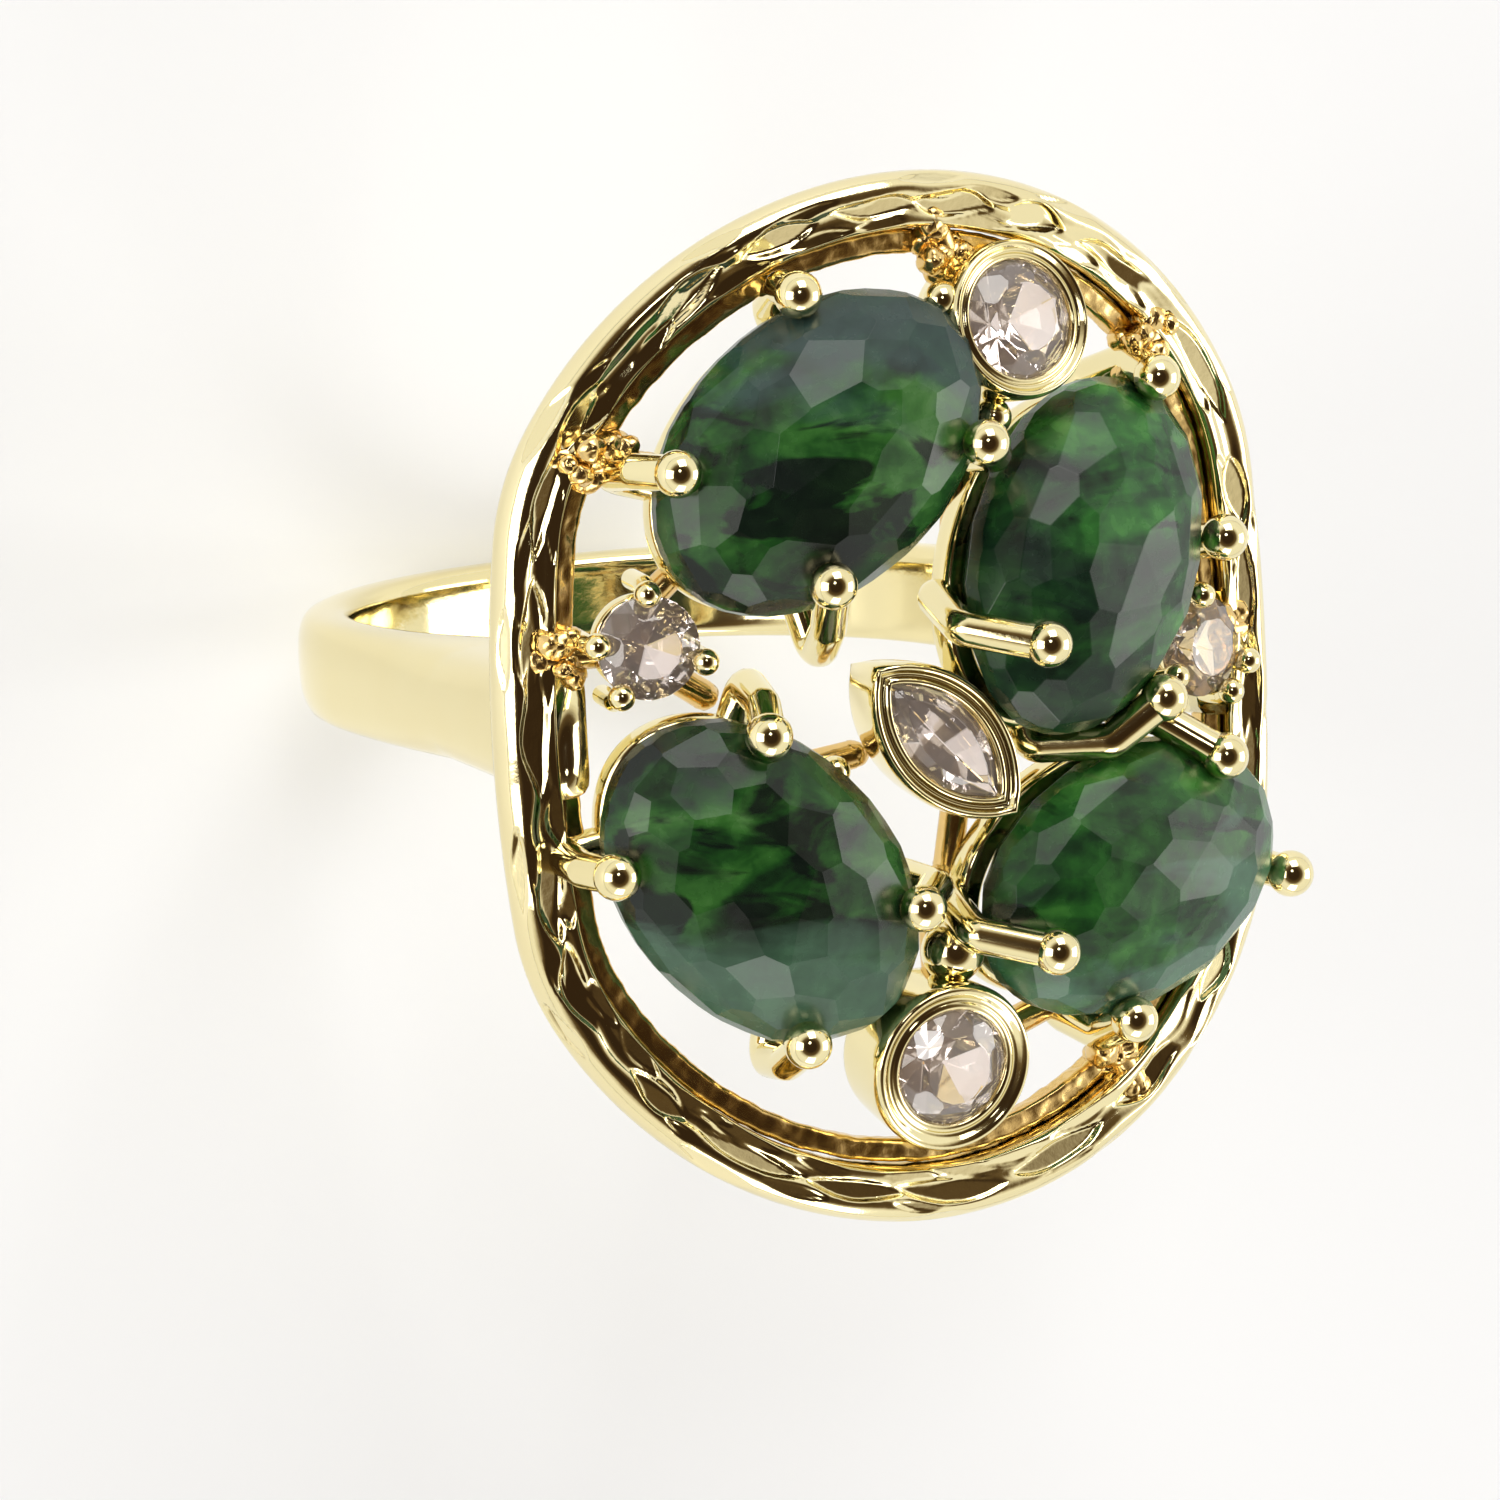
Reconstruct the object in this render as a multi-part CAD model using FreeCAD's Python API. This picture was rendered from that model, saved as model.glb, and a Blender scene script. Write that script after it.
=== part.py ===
"""Cocktail ring: four oval green stones in claws inside a hammered oval frame.

Frame of the part: the finger passes along Y, the head stands up along +Z, and the
origin is the centre of the finger bore.  All sizes are in millimetres.
"""
import FreeCAD
import Part
import math
import os

V = FreeCAD.Vector
AXIS_X, AXIS_Y, AXIS_Z = V(1, 0, 0), V(0, 1, 0), V(0, 0, 1)

# ---- driving dimensions ------------------------------------------------------------
BORE_RADIUS = 9.05            # finger size 18.1 mm across
BAND_THICKNESS = 1.5
BAND_WIDTH_BASE = 2.6         # palm side
BAND_WIDTH_SHOULDER = 3.3     # under the head
BORE_GAP_HALF_ANGLE = 43.0    # degrees each side of +Z where the band is open
SHOULDER_HALF_WIDTH = 10.7    # outside of the shoulders where they meet the frame
SHOULDER_TOP_INNER = 9.0
BAND_EDGE_FILLET = 0.35
EDGE_TOLERANCE = 0.05

HEAD_TOP = 15.2               # crest of the frame above the bore centre, at X = 0
CROWN_RADIUS = 35.0           # the head curves about the Y axis
FRAME_HALF_WIDTH = 11.4
FRAME_HALF_LENGTH = 13.85
FRAME_SIDE_RADIUS = 45.0      # outline: long side arcs, corner arcs and end arcs
FRAME_CORNER_RADIUS = 7.5
FRAME_SIDE_ANGLE = 6.4        # degrees that half a side arc spans
FRAME_BAND = 1.5
FRAME_LIP_HEIGHT = 0.75       # full-width upper part of the frame's section
FRAME_FOOT_INSET = 0.55       # the lower part is set in from the outside by this
FRAME_FOOT_HEIGHT = 0.65
RAIL_WIDTH = 0.7
RAIL_DROP = 0.75              # top of the inner rail below the frame's crest
RAIL_HEIGHT = 0.65
BLANK_DEPTH = 10.0            # straight oval blanks reach this far below the crest
BLANK_HEIGHT = 12.0

OVAL_A, OVAL_B = 5.0, 3.5     # half axes of the 10 x 7 oval stones
GIRDLE_HALF = 0.15
PAVILION_DEPTH = 1.2
OVAL_FACETS = 16
# share of the half axes and height of each ring of corners, from the base up
OVAL_LEVELS = [(0.80, -PAVILION_DEPTH), (1.0, -GIRDLE_HALF), (1.0, GIRDLE_HALF),
               (0.90, 0.95), (0.68, 1.75), (0.36, 2.25)]
SEAT_HEIGHT = 0.8
SEAT_WIDTH = 0.8
SEAT_INSET = 0.2
CLAW_WIRE_RADIUS = 0.48
CLAW_BALL_RADIUS = 0.63
CLAW_ROOT_INSET = 0.3
CLAW_CLEARANCE = 0.1          # from the wire to the girdle
CLAW_KNEE_HEIGHT = 0.2
CLAW_BALL_OUT, CLAW_BALL_HEIGHT = 0.1, 1.3
CLAW_REACH_IN, CLAW_REACH_UP = 0.8, 0.65

ROUND_RADIUS = 1.6            # the two bezel-set round stones
# share of the radius across and in height of each ring of corners, from the point up
BRILLIANT_FACETS = 16
BRILLIANT_LEVELS = [(0.06, -0.78), (1.0, -0.06), (1.0, 0.06), (0.56, 0.36)]
BEZEL_DEPTH = 2.0
BEZEL_TAPER = 0.2
BEZEL_LEDGE = 0.78            # share of the stone's radius that stays open under it
BEZEL_LEDGE_DEPTH = 0.62
BEZEL_RIM_HEIGHT = 0.42
BEZEL_RIM_CHAMFER = 0.12
BEZEL_CHAMFER_DROP = 0.04
BEZEL_GROOVE_HALF = 0.1       # the stone's girdle sits in this groove
MARQUISE_A, MARQUISE_B = 2.15, 1.0
MARQUISE_TABLE, MARQUISE_TABLE_HEIGHT = 0.56, 0.35
MARQUISE_KEEL_A, MARQUISE_KEEL_B, MARQUISE_KEEL_DEPTH = 0.3, 0.12, 0.8
MARQUISE_WALL = 0.62
MARQUISE_TIP_WALL = 0.68      # the cup is thicker at its two points
MARQUISE_DEPTH = 1.7
MARQUISE_FOOT_TAPER = (0.25, 0.2)
MARQUISE_RIM_TAPER = (0.1, 0.08)
MARQUISE_MOUTH_DEPTH, MARQUISE_MOUTH_TOP = 0.35, 0.5
MARQUISE_OPEN_A, MARQUISE_OPEN_B = 0.82, 0.72
ACCENT_RADIUS = 1.35          # the two claw-set round stones
ACCENT_WIRE_RADIUS = 0.27
ACCENT_BALL_RADIUS = 0.36
ACCENT_CLEARANCE = 0.02
ACCENT_CLAW_DEPTH = 1.3
ACCENT_TIP_OUT, ACCENT_TIP_HEIGHT = 0.1, 0.42
COLLET_DEPTH, COLLET_HEIGHT = 1.35, 0.6
COLLET_INSET, COLLET_WIDTH = 0.05, 0.5
STRUT_RADIUS = 0.42
STRUT_LOW_DROP = 1.45         # from the crown to a strut's axis, at the rail
STRUT_HIGH_DROP = 0.55        # and over the rail, where struts reach the frame

# centre, direction of the long axis, and lean about X and about Y, in degrees
OVALS = {
    "upper_left": (V(-3.1, 6.9, 15.5), 35, -10, -9),
    "lower_left": (V(-5.2, -4.1, 15.2), -48, 6, -10),
    "upper_right": (V(4.6, 3.4, 15.2), 57, -10, 14),
    "lower_right": (V(5.6, -5.3, 15.0), 11, 5, 14),
}
# each claw: place of its ball round the girdle in degrees, how far it reaches in
# over the dome, how far its foot stands outside the girdle, and the turn from the
# ball's place to the foot's
CLAWS = {
    "upper_left": {"top": (67, -0.2, 0.2, 0), "right": (310, 0.2, 0.1, 0),
                   "bottom": (238, 0.7, 1.3, 0), "left": (137, 0.35, 0.9, 0)},
    "lower_left": {"top": (130, 0.1, 0.8, 0), "right": (50, 0.4, 0.1, 0),
                   "bottom": (318, 0.5, 1.0, 0), "left": (227, 0.1, 0.8, 0)},
    "upper_right": {"top": (9, 0.2, 0.3, 0), "right": (296, -0.5, 0.2, 0),
                    "bottom": (239, -0.2, 0.2, -35), "left": (146, 1.0, -0.1, -24)},
    "lower_right": {"top": (55, 0.4, 1.2, 30), "right": (336, -0.4, 0.3, 0),
                    "bottom": (251, 0.2, 0.3, 0), "left": (183, 1.0, 0.0, -19)},
}
# centre, lean about X and about Y, and outer radius of the cup
ROUND_BEZELS = {
    "top": (V(2.75, 9.8, 15.7), -12, 6, 2.12),
    "bottom": (V(-0.28, -9.53, 15.8), 8, 0, 2.3),
}
MARQUISE = (V(-0.1, -0.9, 16.0), -48, 0, -4)
# centre, lean about X and about Y, and the places of its four claws in degrees
ACCENTS = {
    "left": (V(-7.7, 2.2, 14.5), 0, -12, (92, 343, 233, 172)),
    "right": (V(8.7, 0.4, 14.1), 0, 15, (100, 338, 298, 205)),
}
BEADS = {
    "upper": (V(2.1, 7.3, 15.4), 0.5),
    "top": (V(0.7, 10.5, 15.5), 0.5),
    "middle": (V(-2.9, -1.5, 15.2), 0.42),
    "lower": (V(0.2, -6.6, 15.4), 0.85),
}
# struts of the open gallery as plan routes, by how far their axis lies below the
# crown: the low ones run at the rail, the high ones pass over it to the frame
STRUTS = {
    STRUT_LOW_DROP: {
        "top_bezel_to_upper_left": [(1.7, 9.2), (0.4, 8.6)],
        "upper_left_to_upper_right": [(1.9, 5.7), (1.5, 2.6)],
        "upper_right_to_marquise": [(3.4, -1.0), (1.5, -1.3)],
        "marquise_to_lower_right": [(1.3, -3.2), (1.0, -4.7)],
        "marquise_to_lower_left": [(-1.6, -1.4), (-3.2, -1.6)],
        "lower_left_to_bottom_bezel": [(0.5, -5.4), (0.5, -7.5)],
        "lower_right_to_bottom_bezel": [(3.9, -8.8), (1.9, -9.4)],
        "upper_left_to_left_accent": [(-5.9, 4.2), (-7.0, 3.2)],
        "left_accent_to_lower_left": [(-6.8, 1.4), (-5.6, 0.6)],
    },
    STRUT_HIGH_DROP: {
        "frame_to_top_bezel": [(0.9, 12.6), (1.6, 10.8)],
        "lower_right_to_frame": [(4.9, -8.9), (6.2, -11.2)],
        "upper_left_to_frame": [(-7.3, 6.8), (-9.5, 7.2)],
        "left_accent_to_frame": [(-8.8, 2.1), (-10.2, 2.0)],
        "upper_right_to_frame": [(6.9, 7.9), (8.2, 9.3)],
        "right_accent_to_frame": [(9.2, 0.6), (10.3, 0.6)],
    },
}


# ---- shared helpers ----------------------------------------------------------------
def crown_height(x, drop=0.0):
    """Height of the head's crown over the bore centre, less a drop along Z."""
    return HEAD_TOP - CROWN_RADIUS + math.sqrt(CROWN_RADIUS ** 2 - x * x) - drop


def placement(centre, turn, lean_x, lean_y):
    """Seat of a stone: turned about its own axis, then leaned about Y and X."""
    rotation = (FreeCAD.Rotation(AXIS_X, lean_x)
                * FreeCAD.Rotation(AXIS_Y, lean_y)
                * FreeCAD.Rotation(AXIS_Z, turn))
    return FreeCAD.Placement(centre, rotation)


def placed(shape, seat):
    moved = shape.copy()
    moved.Placement = seat
    return moved


def largest_solid(shape):
    return max(shape.Solids, key=lambda solid: solid.Volume)


def trimmed(shape, neighbours):
    """Cuts the neighbours' room out of a shape, so that they meet face to face."""
    box = shape.BoundBox
    near = [n for n in neighbours if box.intersect(n.BoundBox)]
    near = [n for n in near if shape.common(n).Volume > 0]
    return largest_solid(shape.cut(near)) if near else shape


def polyhedron(rings):
    """Closed solid of flat triangles through rings of equal point counts."""
    least_area = 1e-6
    faces = []
    for low, high in zip(rings, rings[1:]):
        count = len(low)
        for i in range(count):
            j = (i + 1) % count
            corners = [low[i], low[j], high[j], high[i]]
            for a, b, c in ((0, 1, 2), (0, 2, 3)):
                tri = [corners[a], corners[b], corners[c]]
                if (tri[1] - tri[0]).cross(tri[2] - tri[0]).Length > least_area:
                    faces.append(Part.Face(Part.makePolygon(tri + tri[:1])))
    for ring in (rings[0], rings[-1]):
        faces.append(Part.Face(Part.makePolygon(ring + ring[:1])))
    solid = Part.Solid(Part.makeShell(faces))
    if solid.Volume < 0:
        solid.reverse()
    return solid


def ellipse_ring(a, b, z, count, phase=0.0):
    step = 2 * math.pi / count
    return [V(a * math.cos((i + phase) * step), b * math.sin((i + phase) * step), z)
            for i in range(count)]


def wire_path(points, radius):
    """Round wire through points, with a ball at each bend."""
    pieces = []
    for start, end in zip(points, points[1:]):
        pieces.append(Part.makeCylinder(radius, start.distanceToPoint(end), start,
                                        end - start))
    pieces += [Part.makeSphere(radius, p) for p in points[1:-1]]
    return pieces[0].fuse(pieces[1:]) if len(pieces) > 1 else pieces[0]


# ---- shank and frame ---------------------------------------------------------------
def shank():
    """Band that is round inside, with shoulders that rise straight to the frame."""
    outer = BORE_RADIUS + BAND_THICKNESS
    shoulder_top = crown_height(SHOULDER_TOP_INNER, RAIL_DROP)
    gap = math.radians(BORE_GAP_HALF_ANGLE)
    lip_x, lip_z = BORE_RADIUS * math.sin(gap), BORE_RADIUS * math.cos(gap)
    bore = Part.Arc(V(lip_x, 0, lip_z), V(0, 0, -BORE_RADIUS), V(-lip_x, 0, lip_z))
    back = Part.Arc(V(-outer, 0, 0), V(0, 0, -outer), V(outer, 0, 0))
    edges = [bore.toShape()]
    left = [V(-lip_x, 0, lip_z), V(-SHOULDER_TOP_INNER, 0, shoulder_top),
            V(-SHOULDER_HALF_WIDTH, 0, shoulder_top), V(-outer, 0, 0)]
    right = [V(-p.x, 0, p.z) for p in reversed(left)]
    edges += [Part.LineSegment(a, b).toShape() for a, b in zip(left, left[1:])]
    edges.append(back.toShape())
    edges += [Part.LineSegment(a, b).toShape() for a, b in zip(right, right[1:])]
    half = BAND_WIDTH_SHOULDER / 2
    face = Part.Face(Part.Wire(edges))
    face.translate(V(0, -half, 0))
    band = face.extrude(V(0, 2 * half, 0))
    base = BAND_WIDTH_BASE / 2
    taper = Part.Face(Part.makePolygon([
        V(0, -base, -outer), V(0, base, -outer), V(0, half, shoulder_top),
        V(0, -half, shoulder_top), V(0, -base, -outer)]))
    taper.translate(V(-2 * outer, 0, 0))
    band = largest_solid(band.common(taper.extrude(V(4 * outer, 0, 0))))
    outside = [e for e in band.Edges if rim_edge(e, outer)]
    return largest_solid(band.makeFillet(BAND_EDGE_FILLET, outside))


def rim_edge(edge, outer):
    """True for the two long edges on the outside of the band."""
    middle = edge.valueAt((edge.FirstParameter + edge.LastParameter) / 2)
    along_y = abs(edge.Vertexes[0].Y - edge.Vertexes[-1].Y) > BAND_WIDTH_BASE / 2
    reach = abs(middle.x) if middle.z > 0 else math.hypot(middle.x, middle.z)
    return reach > outer - EDGE_TOLERANCE and not along_y


def frame_outline(inset, z):
    """Closed outline of eight tangent arcs, inset from the frame's outer edge."""
    side, corner = FRAME_SIDE_RADIUS, FRAME_CORNER_RADIUS
    angle = math.radians(FRAME_SIDE_ANGLE)
    side_x = FRAME_HALF_WIDTH - side
    corner_x = side_x + (side - corner) * math.cos(angle)
    corner_y = (side - corner) * math.sin(angle)
    rise = corner_y - FRAME_HALF_LENGTH
    end = (corner ** 2 - corner_x ** 2 - rise ** 2) / (2 * (rise + corner))
    end_y = FRAME_HALF_LENGTH - end
    turn = math.atan2(corner_y - end_y, corner_x)
    arcs = [(side_x, 0, side, -angle, angle),
            (corner_x, corner_y, corner, angle, turn),
            (0, end_y, end, turn, math.pi - turn),
            (-corner_x, corner_y, corner, math.pi - turn, math.pi - angle)]
    edges = []
    for half_turn in (0, math.pi):
        for x, y, radius, start, stop in arcs:
            if half_turn:
                x, y, start, stop = -x, -y, start + half_turn, stop + half_turn
            radius -= inset
            spots = [V(x + radius * math.cos(t), y + radius * math.sin(t), z)
                     for t in (start, (start + stop) / 2, stop)]
            edges.append(Part.Arc(*spots).toShape())
    return Part.Wire(edges)


def crown_slab(drop, height):
    """Curved slab that follows the head's crown, drop below its crest."""
    length = 4 * FRAME_HALF_LENGTH
    start = V(0, -length / 2, HEAD_TOP - CROWN_RADIUS)
    outside = Part.makeCylinder(CROWN_RADIUS - drop, length, start, AXIS_Y)
    inside = Part.makeCylinder(CROWN_RADIUS - drop - height, length, start, AXIS_Y)
    return outside.cut(inside)


def oval_band(inset, width, drop, height):
    """Band between two outlines of the frame, laid on the crown."""
    low, rise = HEAD_TOP - BLANK_DEPTH, V(0, 0, BLANK_HEIGHT)
    solid = Part.Face(frame_outline(inset, low)).extrude(rise)
    hole = Part.Face(frame_outline(inset + width, low)).extrude(rise)
    return largest_solid(solid.cut(hole).common(crown_slab(drop, height)))


def hammered_frame():
    """Oval frame: a full-width upper part on a foot that is set in from outside."""
    lip = oval_band(0, FRAME_BAND, 0, FRAME_LIP_HEIGHT)
    foot = oval_band(FRAME_FOOT_INSET, FRAME_BAND - FRAME_FOOT_INSET,
                     FRAME_LIP_HEIGHT, FRAME_FOOT_HEIGHT)
    return largest_solid(lip.fuse(foot))


# ---- oval stones in claws ----------------------------------------------------------
def oval_stone(seat):
    """Checkerboard dome on a thin girdle, with a flat-bottomed base."""
    rings = []
    for k, (scale, z) in enumerate(OVAL_LEVELS):
        phase = 0.5 if z > GIRDLE_HALF and k % 2 else 0.0
        rings.append(ellipse_ring(OVAL_A * scale, OVAL_B * scale, z, OVAL_FACETS, phase))
    return placed(polyhedron(rings), seat)


def oval_seat(seat):
    """Oval wire rail that the stone's base rests on."""
    low = -PAVILION_DEPTH - SEAT_HEIGHT
    a, b = OVAL_A - SEAT_INSET, OVAL_B - SEAT_INSET
    outer = ellipse_face(a, b, low)
    inner = ellipse_face(a - SEAT_WIDTH, b - SEAT_WIDTH, low)
    rise = V(0, 0, SEAT_HEIGHT)
    return placed(outer.extrude(rise).cut(inner.extrude(rise)), seat)


def ellipse_face(a, b, z):
    curve = Part.Ellipse(V(0, 0, z), a, b)
    return Part.Face(Part.Wire(curve.toShape()))


def oval_claw(seat, degrees, reach, foot_out, foot_turn):
    """Round wire from the seat past the girdle, with its ball on the dome."""
    ball_angle = math.radians(degrees)
    foot_angle = math.radians(degrees + foot_turn)
    seat_level = -PAVILION_DEPTH - SEAT_HEIGHT / 2
    root = rim_point(foot_angle, -CLAW_ROOT_INSET, seat_level)
    foot = rim_point(foot_angle, foot_out, seat_level)
    knee = rim_point((ball_angle + foot_angle) / 2, CLAW_WIRE_RADIUS + CLAW_CLEARANCE,
                     CLAW_KNEE_HEIGHT)
    ball = rim_point(ball_angle, CLAW_BALL_OUT - CLAW_REACH_IN * reach,
                     CLAW_BALL_HEIGHT + CLAW_REACH_UP * reach)
    wire = wire_path([root, foot, knee, ball], CLAW_WIRE_RADIUS)
    return placed(wire.fuse(Part.makeSphere(CLAW_BALL_RADIUS, ball)), seat)


def rim_point(t, outward, z):
    """Point at a girdle angle, moved outward along the ellipse's normal."""
    x, y = OVAL_A * math.cos(t), OVAL_B * math.sin(t)
    normal = V(math.cos(t) / OVAL_A, math.sin(t) / OVAL_B, 0).normalize()
    return V(x, y, z) + normal * outward


# ---- clear stones ------------------------------------------------------------------
def brilliant(radius, seat):
    """Round brilliant: table, crown, thin girdle and pointed pavilion."""
    rings = [ellipse_ring(radius * s, radius * s, radius * z, BRILLIANT_FACETS)
             for s, z in BRILLIANT_LEVELS]
    return placed(polyhedron(rings), seat)


def round_bezel(seat, radius):
    """Turned cup with a bearing ledge, rubbed over the stone's girdle."""
    ledge, groove = BEZEL_LEDGE * ROUND_RADIUS, BEZEL_GROOVE_HALF
    chamfer, rim = BEZEL_RIM_CHAMFER, BEZEL_RIM_HEIGHT
    profile = [V(ledge, 0, -BEZEL_DEPTH), V(radius - BEZEL_TAPER, 0, -BEZEL_DEPTH),
               V(radius, 0, 0), V(radius - chamfer, 0, rim - BEZEL_CHAMFER_DROP),
               V(ROUND_RADIUS + chamfer, 0, rim), V(ROUND_RADIUS, 0, groove),
               V(ROUND_RADIUS, 0, -groove), V(ledge, 0, -BEZEL_LEDGE_DEPTH)]
    face = Part.Face(Part.makePolygon(profile + profile[:1]))
    return placed(face.revolve(V(0, 0, 0), AXIS_Z, 360), seat)


def marquise_wire(a, b, z):
    upper = Part.Arc(V(-a, 0, z), V(0, b, z), V(a, 0, z))
    lower = Part.Arc(V(a, 0, z), V(0, -b, z), V(-a, 0, z))
    return Part.Wire([upper.toShape(), lower.toShape()])


def marquise_stone(seat):
    """Pointed oval cut with a table and a keel, made as two ruled lofts."""
    a, b = MARQUISE_A, MARQUISE_B
    girdle = marquise_wire(a, b, 0)
    table = marquise_wire(MARQUISE_TABLE * a, MARQUISE_TABLE * b, MARQUISE_TABLE_HEIGHT)
    keel = marquise_wire(MARQUISE_KEEL_A * a, MARQUISE_KEEL_B * b, -MARQUISE_KEEL_DEPTH)
    crown = Part.makeLoft([girdle, table], True, True)
    pavilion = Part.makeLoft([keel, girdle], True, True)
    return placed(largest_solid(crown.fuse(pavilion)), seat)


def marquise_bezel(seat):
    """Pointed cup round the marquise stone, open at the back."""
    a, b = MARQUISE_A + MARQUISE_TIP_WALL, MARQUISE_B + MARQUISE_WALL
    foot_a, foot_b = MARQUISE_FOOT_TAPER
    rim_a, rim_b = MARQUISE_RIM_TAPER
    foot = marquise_wire(a - foot_a, b - foot_b, -MARQUISE_DEPTH)
    shoulder = marquise_wire(a, b, 0)
    rim = marquise_wire(a - rim_a, b - rim_b, MARQUISE_TABLE_HEIGHT)
    cup = Part.makeLoft([foot, shoulder, rim], True, True)
    hole = Part.Face(marquise_wire(MARQUISE_OPEN_A * MARQUISE_A,
                                   MARQUISE_OPEN_B * MARQUISE_B, -2 * MARQUISE_DEPTH))
    mouth = Part.makeLoft([
        marquise_wire(MARQUISE_A, MARQUISE_B, -MARQUISE_MOUTH_DEPTH),
        marquise_wire(MARQUISE_A + rim_a, MARQUISE_B + rim_a, MARQUISE_MOUTH_TOP)],
        True, True)
    cup = cup.cut([hole.extrude(V(0, 0, 3 * MARQUISE_DEPTH)), mouth])
    return placed(largest_solid(cup), seat)


def accent_collet(seat):
    """Low ring under a claw-set round stone."""
    low, radius = V(0, 0, -COLLET_DEPTH), ACCENT_RADIUS - COLLET_INSET
    outer = Part.makeCylinder(radius, COLLET_HEIGHT, low)
    inner = Part.makeCylinder(radius - COLLET_WIDTH, COLLET_HEIGHT, low)
    return placed(outer.cut(inner), seat)


def accent_claws(seat, places):
    """Four fine claws with beaded ends, as separate solids of one set."""
    claws = []
    for degrees in places:
        t = math.radians(degrees)
        ray = V(math.cos(t), math.sin(t), 0)
        out = ray * (ACCENT_RADIUS + ACCENT_WIRE_RADIUS + ACCENT_CLEARANCE)
        tip = ray * (ACCENT_RADIUS + ACCENT_TIP_OUT) + V(0, 0, ACCENT_TIP_HEIGHT)
        root = out - V(0, 0, ACCENT_CLAW_DEPTH)
        wire = wire_path([root, out, tip], ACCENT_WIRE_RADIUS)
        ball = Part.makeSphere(ACCENT_BALL_RADIUS, tip)
        claws.append(placed(wire.fuse(ball), seat))
    return claws


def strut(route, drop):
    points = [V(x, y, crown_height(x, drop)) for x, y in route]
    return wire_path(points, STRUT_RADIUS)


# ---- assembly ----------------------------------------------------------------------
def build():
    nodes = {}
    fitted = []

    def add(name, shapes):
        """Trims the shapes of a node against everything placed before it."""
        solids = [trimmed(shape, fitted) for shape in shapes]
        fitted.extend(solids)
        nodes[name] = solids[0] if len(solids) == 1 else Part.makeCompound(solids)

    oval_seats = {}
    for side, (centre, turn, lean_x, lean_y) in OVALS.items():
        oval_seats[side] = placement(centre, turn, lean_x, lean_y)
        add(side + "_oval_stone", [oval_stone(oval_seats[side])])
    bezel_seats = {}
    for side, (centre, lean_x, lean_y, _) in ROUND_BEZELS.items():
        bezel_seats[side] = placement(centre, 0, lean_x, lean_y)
        add(side + "_round_stone", [brilliant(ROUND_RADIUS, bezel_seats[side])])
    marquise_seat = placement(*MARQUISE)
    add("marquise_stone", [marquise_stone(marquise_seat)])
    accent_seats = {}
    for side, (centre, lean_x, lean_y, _) in ACCENTS.items():
        accent_seats[side] = placement(centre, 0, lean_x, lean_y)
        add(side + "_accent_stone", [brilliant(ACCENT_RADIUS, accent_seats[side])])

    add("hammered_frame", [hammered_frame()])
    add("gallery_rail", [oval_band(FRAME_BAND, RAIL_WIDTH, RAIL_DROP, RAIL_HEIGHT)])
    add("shank", [shank()])
    for side, seat in bezel_seats.items():
        add(side + "_round_bezel", [round_bezel(seat, ROUND_BEZELS[side][3])])
    add("marquise_bezel", [marquise_bezel(marquise_seat)])
    for side, seat in oval_seats.items():
        add(side + "_seat", [oval_seat(seat)])
    for side, seat in accent_seats.items():
        add(side + "_accent_collet", [accent_collet(seat)])
    for side, seat in oval_seats.items():
        for place, shape in CLAWS[side].items():
            add(side + "_claw_" + place, [oval_claw(seat, *shape)])
    for side, seat in accent_seats.items():
        add(side + "_accent_claws", accent_claws(seat, ACCENTS[side][3]))
    for name, (centre, radius) in BEADS.items():
        add(name + "_bead", [Part.makeSphere(radius, centre, AXIS_Y)])
    for drop, routes in STRUTS.items():
        for name, route in routes.items():
            add("strut_" + name, [strut(route, drop)])
    return nodes


os.makedirs("parts", exist_ok=True)
for node, shape in build().items():
    shape.exportStep("parts/" + node + ".step")
    print(node, "solids", len(shape.Solids), "volume", round(shape.Volume, 3),
          "valid", shape.isValid())
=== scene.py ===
# %% [markdown]
# # Cocktail ring
# A gold-tone ring: a plain band, an oval hammered frame, four green oval stones held by
# ball-ended claws, and small clear stones in cups and fine claws.  The design comes as a
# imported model, so this lesson gives each piece its finished shape and surface round it.

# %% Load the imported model
import bmesh
import bpy
import math
from mathutils import Matrix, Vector
import numpy as np


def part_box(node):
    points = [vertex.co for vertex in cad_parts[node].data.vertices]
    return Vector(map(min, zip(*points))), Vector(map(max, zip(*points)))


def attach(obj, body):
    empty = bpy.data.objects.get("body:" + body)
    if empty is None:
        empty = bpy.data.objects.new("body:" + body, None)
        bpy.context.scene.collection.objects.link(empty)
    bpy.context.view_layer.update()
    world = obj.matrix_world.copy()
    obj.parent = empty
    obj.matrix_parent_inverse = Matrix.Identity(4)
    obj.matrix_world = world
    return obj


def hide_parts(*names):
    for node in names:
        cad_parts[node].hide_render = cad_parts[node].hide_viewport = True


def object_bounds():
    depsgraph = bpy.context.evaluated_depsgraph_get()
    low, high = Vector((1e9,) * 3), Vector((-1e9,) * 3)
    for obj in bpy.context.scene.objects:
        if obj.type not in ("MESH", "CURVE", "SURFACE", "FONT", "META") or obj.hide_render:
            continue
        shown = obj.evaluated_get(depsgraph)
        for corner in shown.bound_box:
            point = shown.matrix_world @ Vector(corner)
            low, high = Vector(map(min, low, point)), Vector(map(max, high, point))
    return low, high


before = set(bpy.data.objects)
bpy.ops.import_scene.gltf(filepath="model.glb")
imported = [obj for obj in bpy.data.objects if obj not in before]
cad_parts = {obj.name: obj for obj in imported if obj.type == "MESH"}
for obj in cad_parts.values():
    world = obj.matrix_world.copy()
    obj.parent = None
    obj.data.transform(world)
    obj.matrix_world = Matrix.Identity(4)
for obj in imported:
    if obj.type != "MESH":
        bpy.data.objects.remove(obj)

CAD_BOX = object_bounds()
MM = 0.001
BODY = "root"
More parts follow.
